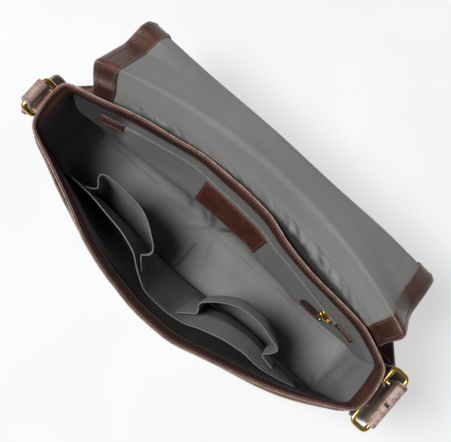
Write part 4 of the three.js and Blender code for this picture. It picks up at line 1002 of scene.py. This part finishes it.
# Painted shade on the hem's top edge and towards the pocket's foot.
ob = piece(wall("cloth_slip_pocket", xs, zs, slip, 0.0, thick, CLOTH, rounded=(False, False, False, True), r=0.9,
                dark=np.maximum(0.30 * smooth((zs - SLIP_TOP + 1.4) / 0.8), 0.5 * (1 - smooth((zs - 12) / 55)))[None, :] + 0 * xs[:, None]), "lining", "slip_pocket")
for x0, x1 in ((-164, -24), (-20, 156)):
    x = np.linspace(x0, x1, 160)
    z = np.full_like(x, SLIP_TOP - 8.2)
    lining_thread.row(slip(x, z, SLIP_WALL + 0.35), -outward(slip, x, z, SLIP_WALL), radius=0.3, pitch=3.0, length=2.2)
for x0 in (-14.0, -9.5):
    z = np.linspace(20, SLIP_TOP - 2, 90)
    x = np.full_like(z, x0)
    lining_thread.row(slip(x, z, SLIP_WALL), -outward(slip, x, z, SLIP_WALL), radius=0.3, pitch=3.0, length=2.2)


def patch(name, node, rows):
    n = len(rows)
    cols = np.array(rows, float)
    at = np.linspace(0, n - 1, 132)
    v = np.concatenate([np.linspace(0, 0.93, 34), [0.936, 0.94, 0.945, 0.96, 0.98, 0.99, 0.995, 0.998, 1.0]])
    c = through(cols, at, 0.42)
    mouth, foot, depth = (c[:, i][:, None] for i in range(3))
    V = v[None, :]
    z = lerp(PATCH_FOOT, PATCH_TOP, V)
    grow = np.sin(V * np.pi / 2)
    sag = 0.5 * slip_folds(mouth * 1.7 + 40, z) * np.clip(depth / 12, 0, 1) * np.sin(V * np.pi)
    face = slip(lerp(foot, mouth, V), z + 0 * mouth, SLIP_WALL + GAP + 0.6 + np.maximum(depth, 0) * grow + sag)
    t = np.gradient(face, axis=0)
    t[..., 2] = 0
    t = normalize(t)
    out = np.stack([-t[..., 1], t[..., 0], 0 * t[..., 0]], -1)
    full = SLIP_WALL + hem(z, PATCH_TOP, 8.5, 0.2) + 0 * mouth
    q = roundness((PATCH_TOP - z) + 0 * mouth, 0.8)
    mid = face + out * (full / 2)[..., None]
    a, b = mid - out * (full / 2 * q)[..., None], mid + out * (full / 2 * q)[..., None]
    length = np.concatenate([[0], np.cumsum(np.linalg.norm(np.diff(face[:, -1], axis=0), axis=1))])
    shade = 0.30 * smooth((z - PATCH_TOP + 1.4) / 0.8) + 0 * mouth
    ob = piece(shell(name, a, b, CLOTH, cloth=(length[:, None], z), dark=(shade, shade)), "lining", node)
    j = int(np.argmin(np.abs(z[0] - (PATCH_TOP - 7))))
    lining_thread.row(b[6:-6, j], out[6:-6, j], radius=0.3, pitch=3.0, length=2.2)
    return ob, length[-1]


patch_l, patch_l_len = patch("cloth_patch_pocket_left", "patch_pocket_left", PATCH_LEFT)
patch_r, patch_r_len = patch("cloth_patch_pocket_right", "patch_pocket_right", PATCH_RIGHT)

# -------------------------------------------------------------------- flap
flap_cols = np.array(FLAP, float)
N_FLAP = len(FLAP)


def flap_at(x, i):
    i = np.asarray(i, float)
    r = through(flap_cols, i, 0.38)
    top = N_FLAP - 1
    soft = sum(w * through(flap_cols, np.clip(i + o, 0, top)) for o, w in zip(np.linspace(-2.4, 2.4, 7), np.array([1, 2, 3, 4, 3, 2, 1]) / 16))
    r = lerp(r, soft, (smooth((i - 2.2) / 2.2) * (1 - smooth((i - 10.0) / 3.0)))[..., None] * np.array([0, 0, 1, 1, 0, 0, 0]))
    k = (np.abs(x) / FLAP_HALF) ** 2.2
    free = lerp(r[..., 3], np.where(x < 0, r[..., 1], r[..., 5]), k)
    z = lerp(r[..., 2], np.where(x < 0, r[..., 0], r[..., 4]), k)
    zc = np.minimum(z, BAG_HEIGHT)
    sewn = panel(1, s_of(1, x, zc), zc)[..., 1] + 0.6
    y = np.maximum(lerp(free, sewn, np.clip(r[..., 6], 0, 1)), np.where(z < BAG_HEIGHT, sewn, -1e3))
    return np.stack(np.broadcast_arrays(x, y, z), -1)


pucker = ripples(83, 7, 9, 24)
pucker_big = ripples(89, 5, 28, 70)
flap_soft = ripples(97, 6, 70, 160)
f_fine = np.linspace(0, N_FLAP - 1, 600)
f_line = flap_at(np.zeros(600), f_fine)
f_len = np.concatenate([[0], np.cumsum(np.linalg.norm(np.diff(f_line, axis=0), axis=1))])
flap_arc = lambda i: np.interp(i, f_fine, f_len)
flap_row = lambda length: np.interp(length, f_len, f_fine)
HINGE = float(flap_arc(2.0))


def flap_give(x, i):
    """unevenness of the flap, shared by all its layers"""
    a = flap_arc(i) - HINGE
    rise = smooth((a + 12) / 26) * (1 - smooth((a - 150) / 120)) * 0.8
    return rise * flap_soft(x, a) * (1 - 0.6 * (np.abs(x) / FLAP_HALF) ** 6)


def flap_off(x, i, d):
    p = flap_at(x, i)
    t = flap_at(x, i + 0.06) - flap_at(x, i - 0.06)
    t[..., 0] = 0
    t = normalize(t)
    n = np.stack([0 * t[..., 0], -t[..., 2], t[..., 1]], -1)
    return p + n * np.asarray(d + flap_give(x, i))[..., None]


gap_edge = curve([(-187, -23), (-160, -19), (-128, -16), (-60, -16), (0, -14), (60, -15.5), (100, -18.5), (150, -21.5), (187, -26)], 1)


def gather(x, a):
    """-1..1 across the gathers of the cloth, a = distance from the hinge"""
    return 1.0 - 2.0 * np.abs(np.sin(np.pi * (x + 0.6 * a + 13.0 * pucker_big(x, 0 * a)) / 10.0)) ** 0.8


def lining_puckers(x, i):
    """gathered cloth along the hinge, and one pressed fold near the right side"""
    a = flap_arc(i) - HINGE
    e = a - gap_edge(x)
    band = smooth((e + 1) / 4) * (1 - smooth((e - 8) / 16))
    side = 1 - smooth((np.abs(x) - 152) / 10)
    strong = 0.45 + 0.9 * np.exp(-((x - 85) / 65) ** 2) + 0.9 * np.exp(-((x + 128) / 26) ** 2)
    k = band * side * strong * (0.5 * pucker(x, a * 0.25) + 0.5 * pucker_big(x, a * 0.4) + 1.0 * gather(x, a))
    k = k + side * ridge(x, a, (152, 86), (148, 150), 1.6, -1.0)
    return np.maximum(k, -0.75)


def hinge_shade(x, i):
    """painted shade along the hinge, where the cloth meets the rim"""
    a = flap_arc(i) - HINGE
    edge = gap_edge(x) + 0.5 * gather(x, 0 * a) + 1.3 * pucker(x, 0 * a) + 1.6 * pucker_big(x, 0 * a)
    return 0.98 * (1 - smooth((a - edge + 3.0) / 8.0))


def gather_light(x, i):
    """over the gathers: 0..1 painted light where the cloth stands up, -1..0 painted shade in the folds between"""
    a = flap_arc(i) - HINGE
    e = a - gap_edge(x)
    band = smooth((e - 1) / 4) * (1 - smooth((e - 8) / 14)) * (1 - smooth((np.abs(x) - 150) / 10))
    strong = np.minimum(1.0, 0.35 + 0.7 * np.exp(-((x - 75) / 70) ** 2) + 0.7 * np.exp(-((x + 115) / 40) ** 2))
    return band * strong * np.clip(0.4 + 0.8 * pucker(x + 0.8 * a, 0.2 * a) + 0.4 * gather(x, a), -1, 1)


def crest_painted_shade(x, i):
    """painted shade that evens out the highlight where the flap turns over"""
    cols = np.linspace(-FLAP_HALF, FLAP_HALF, 41)
    tops = [flap_arc(f_fine[np.argmax(flap_at(np.full(600, c), f_fine)[:, 2])]) for c in cols]
    return 0.13 * np.exp(-((flap_arc(i) - np.interp(x, cols, tops)) / 11) ** 2)


f_rows = flap_row(np.concatenate([np.arange(0, HINGE + 130, 2.2), np.arange(HINGE + 130, f_len[-1], 4.5), [f_len[-1]]]))
unit = f_len[-1] / (N_FLAP - 1)
F_IN = FLAP_HALF - 2.5
arc_v = flap_arc(f_rows)
xs = np.linspace(-F_IN, F_IN, 190)
grid = np.broadcast_arrays(xs[:, None], f_rows[None, :])
surf = lambda x, i, d: flap_off(x, i, d + np.where(d > -1.0, lining_puckers(x, i), 0))
# Painted shade at the hinge, over the crest and in the folds of the gathers; painted light where the gathers stand up.
ob_flap = piece(wall("cloth_flap_lining", xs, f_rows, surf, -1.45, -0.45, CLOTH_FLAP, unit=(1, unit), rounded=(False, False, False, True), r=0.5,
                     dark=np.maximum(np.maximum(hinge_shade(*grid), crest_painted_shade(*grid)), np.maximum(-0.7 * gather_light(*grid), 0)),
                     highlight_and_wear_mix=np.maximum(0.75 * gather_light(*grid), 0),
                     cloth=(xs[:, None], arc_v[None, :])), "lining", "flap_lining")
xs = close_steps(-FLAP_HALF, FLAP_HALF, 110)
coarse = flap_row(np.concatenate([np.arange(0, HINGE + 130, 3.2), np.arange(HINGE + 130, f_len[-1] - 3, 6.0), f_len[-1] - np.array([2.0, 1.0, 0.35, 0.1, 0])]))
# Pale edges: part real wear, part painted highlight.
ob_flap_leather = piece(wall("leather_flap", xs, coarse, flap_off, -3.8, -1.8, HIDE, unit=(1, unit), rounded=(True, True, False, True), edge_wear_and_highlight=(0.9, 0.9, 0, 0.9),
                             cloth=(xs[:, None], flap_arc(coarse)[None, :])), "leather", "flap_leather")
for name, node, side in (("leather_flap_facing_left", "flap_facing_left", -1), ("leather_flap_facing_right", "flap_facing_right", 1)):
    def surf(x, i, d):
        turn = smooth((np.abs(x) - (FLAP_HALF - 4)) / 4)
        return flap_off(x, i, d - 1.5 * turn)
    a, b = sorted((side * FLAP_HALF, side * (FLAP_HALF - FLAP_FACING)))
    f2 = f_rows[f_rows >= 1.0]
    outer = (0.9, 0.0) if side < 0 else (0.0, 0.9)
    inner_w = (0.0, 0.35) if side < 0 else (0.35, 0.0)
    edge_wear_and_highlight = (max(outer[0], inner_w[0]), max(outer[1], inner_w[1]), 0, 0.8)
    # Pale edges, part real wear and part painted highlight, and a painted highlight across the left facing's riser near
    # the hinge.
    piece(wall(name, close_steps(a, b, 16, r=0.6), f2, surf, 0.0, 1.2, HIDE, unit=(1, unit), rounded=(True, True, False, True), edge_wear_and_highlight=edge_wear_and_highlight, r=0.6,
               highlight_and_wear_mix=0.9 * np.exp(-((flap_arc(f2)[None, :] - HINGE - 20) / 9) ** 2) * smooth((-156 - close_steps(a, b, 16, r=0.6)[:, None]) / 6),
               cloth=(close_steps(a, b, 16, r=0.6)[:, None], flap_arc(f2)[None, :])), "leather", node)
    i = np.linspace(2.1, N_FLAP - 1.05, 320)
    for inset in (FLAP_FACING - 2.2, 5.2):
        x = np.full_like(i, side * (FLAP_HALF - inset))
        line = surf(x, i, 1.2)
        flap_thread.row(line, normalize(surf(x, i, 2.0) - line))
    x = np.full_like(i, side * (FLAP_HALF - 4.5))
    line = flap_off(x, i, -3.8)
    flap_thread.row(line, normalize(flap_off(x, i, -4.6) - line))
x = np.linspace(-FLAP_HALF + 5, FLAP_HALF - 5, 220)
i = np.full_like(x, float(flap_row(f_len[-1] - 4.5)))
flap_thread.row(flap_off(x, i, -3.8), flap_off(x, i, -4.6) - flap_off(x, i, -3.8))
for a in (8.0, 16.0):
    i = np.full_like(x, float(flap_row(a)))
    flap_thread.row(flap_off(x, i, -3.8), flap_off(x, i, -4.6) - flap_off(x, i, -3.8))


# ------------------------------------------------- tabs, ring, buckle, strap
def arc(cx, cz, r, a0, a1, n):
    a = np.radians(np.linspace(a0, a1, n + 1))
    return np.stack([cx + r * np.cos(a), cz + r * np.sin(a)], -1)


def rounded_path(points, step):
    """a smooth, evenly spaced line through section points"""
    pts = np.asarray(points, float)
    fine = through(pts, np.linspace(0, len(pts) - 1, len(pts) * 12))
    return resample(fine, step=step)


def ribbon(name, line, across, half, thick, material, slot, nodes, cols=16, threads=None, edge_wear_and_highlight=0.8, inset=2.6):
    """strip of leather along line (n, 3), width direction across (n, 3)"""
    n = len(line)
    across = normalize(across)
    tan = normalize(np.gradient(line, axis=0))
    nrm = normalize(np.cross(tan, across))
    half = np.broadcast_to(np.asarray(half, float), (n,))
    cs = close_steps(-1, 1, cols, unit=float(half.max()), r=1.0)
    length = np.concatenate([[0], np.cumsum(np.linalg.norm(np.diff(line, axis=0), axis=1))])
    side = (1 - np.abs(cs))[None, :] * half[:, None]
    ends = np.minimum(length, length[-1] - length)[:, None] + 0 * side
    q = roundness(side, 1.0) * roundness(ends + 0.3, 1.0)
    centre = line[:, None] + across[:, None] * (half[:, None] * cs[None, :])[..., None]
    wear_and_highlight = edge_wear_and_highlight * np.exp(-(np.maximum(np.minimum(side, ends) - 0.4, 0) / 1.4) ** 2)
    ob = shell(name, centre + nrm[:, None] * (thick / 2 * q)[..., None], centre - nrm[:, None] * (thick / 2 * q)[..., None], material,
               cloth=(length[:, None], cs[None, :] * half[:, None]), wear_and_highlight=wear_and_highlight)
    if threads is not None:
        for sgn in (-1, 1):
            edge_line = line + across * (sgn * (half - inset))[:, None]
            for face in (-1, 1):
                threads.row(edge_line[2:-2] + nrm[2:-2] * face * thick / 2, nrm[2:-2] * face)
    return piece(ob, slot, *nodes)


def side_line(sign, y, path):
    return np.stack([sign * path[:, 0], np.full(len(path), y), path[:, 1]], -1)


def tab_path(sign, bar, wire):
    r = wire + 0.45 + TAB_THICK / 2
    wall_x = lambda z: float(abs(gusset_in(sign, np.array(0.0), np.array(float(z)), 0.0)[0]))
    return np.array([(wall_x(196) + 1.5, 196), (wall_x(230) + 1.5, 230), (wall_x(252) + 1.8, 252), (bar[0] - r + 0.1, bar[1] - 6)]
                    + [tuple(p) for p in arc(bar[0], bar[1], r, 180, 0, 10)]
                    + [(bar[0] + r - 0.5, bar[1] - 7), (wall_x(250) + 4.8, 250), (wall_x(228) + 4, 228), (wall_x(197) + 3.9, 197)])


for name, node, sign, bar, wire_r in (("leather_tab_left", "tab_left", -1, RING["bar"], RING_WIRE), ("leather_tab_right", "tab_right", 1, BUCKLE["bar"], BUCKLE_WIRE)):
    line = side_line(sign, END_Y, rounded_path(tab_path(sign, bar, wire_r), 1.6))
    ribbon(name, line, np.tile([0, 1.0, 0], (len(line), 1)), STRAP_NECK / 2, TAB_THICK, HIDE, "leather", (node,), threads=strap_thread)


def frame_line(sign, y, spec, corner, n=10):
    b, o = np.array(spec["bar"]), np.array(spec["outer"])
    wide = np.linalg.norm(o - b)
    e, h, c, pts = (o - b) / wide, spec["half"], corner, []
    put = lambda a, k: pts.append((sign * (b[0] + e[0] * a), y + k, b[1] + e[1] * a))
    for ca, cb, start in ((c, h - c, 180), (wide - c, h - c, 90), (wide - c, -h + c, 0), (c, -h + c, -90)):
        for k in np.linspace(0, 1, n):
            a = math.radians(start - 90 * k)
            put(ca + c * math.cos(a), cb + c * math.sin(a))
    return resample(np.array(pts + pts[:1]), count=150)[:-1]


piece(tube("brass_ring_left", frame_line(-1, END_Y, RING, 4), RING_WIRE + 0.35, 20, True, BRASS), "brass", "ring_left")
piece(tube("brass_buckle", frame_line(1, END_Y, BUCKLE, 5), BUCKLE_WIRE + 0.35, 20, True, BRASS), "brass", "buckle")
b, r = BUCKLE["bar"], BUCKLE_WIRE + 1.3 + 0.4
path = np.concatenate([arc(b[0], b[1], r, 250, 70, 16), [[b[0] + 6, b[1] + 4.2]]])
line = side_line(1, END_Y + STRAP_NECK / 2 + 3.2, resample(path, step=0.7))
piece(tube("brass_prong", line, 1.3, 12, False, BRASS), "brass", "prong")

# strap: folded end at the ring, down the left side, behind the bag, up to the buckle
STRAP_X, STRAP_OUT, RUN_Y, FOLD_R, DROP_R = 229.0, 3.4, 77.0, 4.2, 12.0
LEAN = dict(left=10.0, right=17.0, foot=20.0)      # how far it hangs over to the back
FLOOR_Z = STRAP_THICK / 2 + 0.1
TWIST_TOP, TWIST_FOOT = 205.0, 34.0
START_Y = END_Y + LEAN["foot"] + DROP_R
FOLD_D = RUN_Y - START_Y


def folded(d, c):
    x, y = c, d - FOLD_D
    a, b = (x + y) / math.sqrt(2), (y - x) / math.sqrt(2)
    span = math.pi * FOLD_R
    turn = np.clip(b / FOLD_R, 0, math.pi)
    bb = np.where(b <= 0, b, np.where(b < span, FOLD_R * np.sin(turn), span - b))
    z = np.where(b <= 0, 0, np.where(b < span, FOLD_R * (1 - np.cos(turn)), 2 * FOLD_R))
    X, Y = (a - bb) / math.sqrt(2), (a + bb) / math.sqrt(2)
    drop = np.where(b >= span, 2 * FOLD_R * smooth((X - 30) / 70), 0)
    return np.stack([-STRAP_X + X, RUN_Y + Y, FLOOR_Z + z - drop], -1)


slot_cols = np.linspace(-0.11, 0.11, 13)
cs = np.unique(np.concatenate([close_steps(-1, 1, 16, unit=26, r=1.2), slot_cols]))
grid = []
r, o = RING_WIRE + 0.45 + STRAP_THICK / 2, RING["outer"]
neck, full = STRAP_NECK / 2, STRAP_WIDE / 2
left = [(o[0] + 3.4, 228), (o[0] + 1.2, 250), (o[0] - r + 0.9, o[1] - 9)] + [tuple(p) for p in arc(o[0], o[1], r, 180, 0, 10)] \
    + [(o[0] + r + 0.6, 262), (o[0] + r + 1.4, 246), (STRAP_X + 4.6, 226), (STRAP_X + STRAP_OUT, TWIST_TOP)]
for n, (x, z) in enumerate(left):
    w = neck if n < len(left) - 3 else neck + 3 if n == len(left) - 3 else full
    back = LEAN["left"] * min(1, max(0, (262 - z) / (262 - TWIST_TOP))) if n > 3 else 0.0
    grid.append(np.stack([np.full_like(cs, -x), END_Y + back + w * cs, np.full_like(cs, z)], -1))
turn_from = len(grid)
TURNS = np.linspace(0, 1, 15)[1:]
for k in TURNS:
    a = k * math.pi / 2
    w = np.array([math.sin(a), math.cos(a), 0])
    grid.append(np.array([-STRAP_X - STRAP_OUT * (1 - k), END_Y + lerp(LEAN["left"], LEAN["foot"], k), lerp(TWIST_TOP, TWIST_FOOT, k)]) + w * (full * cs)[:, None])
for a in np.linspace(0, 90, 9)[1:]:
    k = math.radians(a)
    grid.append(np.stack([-STRAP_X + full * cs, np.full_like(cs, START_Y - DROP_R * math.cos(k)), np.full_like(cs, TWIST_FOOT - (TWIST_FOOT - FLOOR_Z) * math.sin(k))], -1))
for d in (4.0, FOLD_D - full - 4):
    grid.append(folded(np.full_like(cs, d), cs * full))
for b in np.linspace(0, math.pi * FOLD_R, 13):
    grid.append(folded(FOLD_D + cs * full + b * math.sqrt(2), cs * full))
FOLD_SPAN = full + math.pi * FOLD_R * math.sqrt(2)
for d in (4, 14, 26, 40, 54, 70, 84, 96, 125, 160):
    grid.append(folded(np.full_like(cs, FOLD_D + FOLD_SPAN + d), cs * full))
mirror = [g * np.array([-1, 1, 1]) for g in grid[turn_from:]]
for n, k in enumerate(TURNS):
    mirror[n] = mirror[n] + np.array([0, (LEAN["right"] - LEAN["left"]) * (1 - k), 0])
mirror = mirror[::-1]
grid += mirror
r, o = BUCKLE_WIRE + 0.45 + STRAP_THICK / 2, BUCKLE["outer"]
right = [(STRAP_X + 4.6, 222), (STRAP_X + 5, 246), (o[0] + r + 0.1, o[1] - 8)] + [tuple(p) for p in arc(o[0], o[1], r, 0, 150, 10)] \
    + [(o[0] - r - 0.6, o[1] - 10), (o[0] - r + 0.2, 240), (o[0] - r + 0.6, 200), (o[0] - r + 0.6, 160), (o[0] - r + 0.6, 148), (o[0] - r + 0.6, 140)]
for n, (x, z) in enumerate(right):
    w = full if n < len(right) - 2 else full - 2 if n == len(right) - 2 else 14
    back = LEAN["right"] * min(1, max(0, (262 - z) / (262 - TWIST_TOP))) if n < 3 else 0.0
    grid.append(np.stack([np.full_like(cs, x), END_Y + back + w * cs, np.full_like(cs, z)], -1))
grid = np.array(grid)
# even rows along the strap, closer at the slit over the buckle bar
mid = grid[:, len(cs) // 2]
fine_at = np.linspace(0, len(grid) - 1, 6000)
fine = through(mid, fine_at)
fine_len = np.concatenate([[0], np.cumsum(np.linalg.norm(np.diff(fine, axis=0), axis=1))])
STRAP_LENGTH = fine_len[-1]
crown = fine_len[int(np.argmax(np.where(fine[:, 0] > 150, fine[:, 2], -1)))]
marks = np.concatenate([np.arange(0, STRAP_LENGTH, 3.0), [STRAP_LENGTH], STRAP_LENGTH - np.array([0.1, 0.35, 1.0]), [0.1, 0.35, 1.0], crown + np.linspace(-4.5, 4.5, 25)])
marks = np.unique(np.round(marks, 3))
rows = through(grid, np.interp(marks, fine_len, fine_at))
t = np.gradient(rows, axis=0)
w = np.gradient(rows, axis=1)
nrm = normalize(np.cross(t, w))
across_len = np.linalg.norm(rows - rows[:, len(cs) // 2][:, None], axis=-1)
half_w = across_len[:, -1][:, None]
side = np.abs(half_w - across_len)
ends = np.minimum(marks, STRAP_LENGTH - marks)[:, None] + 0 * side
q = roundness(side, 1.4) * roundness(ends + 0.2, 1.2)
slit = smooth((1 - np.maximum(((marks - crown) / 3.2)[:, None] ** 2, (cs * full / 1.7)[None, :] ** 2)) / 0.35)
up_side = np.sign((nrm[int(np.argmin(np.abs(marks - crown))), len(cs) // 2])[2])
lift = [1.5 * q, -1.5 * q]
which = 0 if up_side > 0 else 1
lift[which] = lift[which] - np.sign(lift[which]) * 2.3 * slit
wear_and_highlight = 0.75 * np.exp(-(np.maximum(np.minimum(side, ends) - 0.4, 0) / 1.5) ** 2)
crown_left = fine_len[int(np.argmax(np.where(fine[:, 0] < -150, fine[:, 2], -1)))]
# Painted highlight over the crown at the buckle and along the strap past the ring.
bend = (0.95 * np.exp(-((marks - crown + 12) / 24.0) ** 2))[:, None] * (1 - smooth((cs - 0.72) / 0.2))[None, :]
bend = bend + (0.9 * np.exp(-((marks - crown_left - 45) / 56.0) ** 2))[:, None]
# The slit gets painted shadow on its upper face.
ob = shell("leather_strap", rows + nrm * lift[0][..., None], rows + nrm * lift[1][..., None], HIDE_STRAP,
           cloth=(marks[:, None], cs[None, :] * full), wear_and_highlight=np.maximum(wear_and_highlight, bend), dark=((0.95 * slit, 0 * slit) if which == 0 else (0 * slit, 0.95 * slit)))
piece(ob, "leather", "strap")
for sgn in (-1, 1):
    k = (half_w[:, 0] - 3.4) / np.maximum(half_w[:, 0], 1e-6) * sgn
    j = np.clip(np.searchsorted(cs, k) - 1, 0, len(cs) - 2)
    f = ((k - cs[j]) / (cs[j + 1] - cs[j]))[:, None]
    ar = np.arange(len(rows))
    edge_line, edge_n = lerp(rows[ar, j], rows[ar, j + 1], f), normalize(lerp(nrm[ar, j], nrm[ar, j + 1], f))
    for face in (-1, 1):
        strap_thread.row(edge_line[3:-3] + edge_n[3:-3] * face * 1.5, edge_n[3:-3] * face, pitch=3.8, length=2.8)

shell_thread.make("stitches_shell", THREAD, "leather")
rim_thread.make("stitches_rim", THREAD, "leather")
flap_thread.make("stitches_flap", THREAD, "leather")
strap_thread.make("stitches_strap", THREAD, "leather")
lining_thread.make("stitches_lining", THREAD_GREY, "lining")

# ----------------------------------------------------- floor, light, camera
bpy.ops.mesh.primitive_plane_add(size=9.0, location=(0, 0, 0))
floor = bpy.context.object
floor.name = "floor"
floor.data.materials.append(floor_material())

world = bpy.data.worlds.new("studio")
scene.world = world
world.use_nodes = True
world.node_tree.nodes["Background"].inputs[0].default_value = (1.0, 1.0, 1.0, 1.0)
world.node_tree.nodes["Background"].inputs[1].default_value = 0.11

RIGHT = Vector((0.748961, 0.661169, 0.043698))
UP = Vector((-0.662022, 0.743878, 0.091480))
BACK = Vector((0.027977, -0.097444, 0.994846))


def lamp(name, azimuth_dir, elevation, distance, size, energy, target=(0, 0, 0.15)):
    data = bpy.data.lights.new(name, "AREA")
    data.shape, data.size, data.energy = "DISK", size, energy
    ob = bpy.data.objects.new(name, data)
    scene.collection.objects.link(ob)
    h = Vector(azimuth_dir).normalized()
    e = math.radians(elevation)
    toward = h * math.cos(e) + Vector((0, 0, math.sin(e)))
    ob.location = Vector(target) + toward * distance
    ob.rotation_mode = "QUATERNION"
    ob.rotation_quaternion = toward.to_track_quat("Z", "Y")
    return ob


lamp("key", (-0.749, -0.661, 0), 74, 2.6, 0.7, 96)

cam_data = bpy.data.cameras.new("camera")
cam = bpy.data.objects.new("camera", cam_data)
scene.collection.objects.link(cam)
cam_data.sensor_fit = "HORIZONTAL"
cam_data.sensor_width = 36.0
cam_data.lens = 36.0 * 1218.0 / 451.0
m = Matrix(((RIGHT.x, UP.x, BACK.x, 0.027585), (RIGHT.y, UP.y, BACK.y, -0.084087), (RIGHT.z, UP.z, BACK.z, 1.450), (0, 0, 0, 1)))
cam.matrix_world = m
scene.camera = cam
scene.view_settings.view_transform = "Standard"
scene.view_settings.look = "None"
scene.view_settings.exposure = 0.0
scene.view_settings.gamma = 1.0
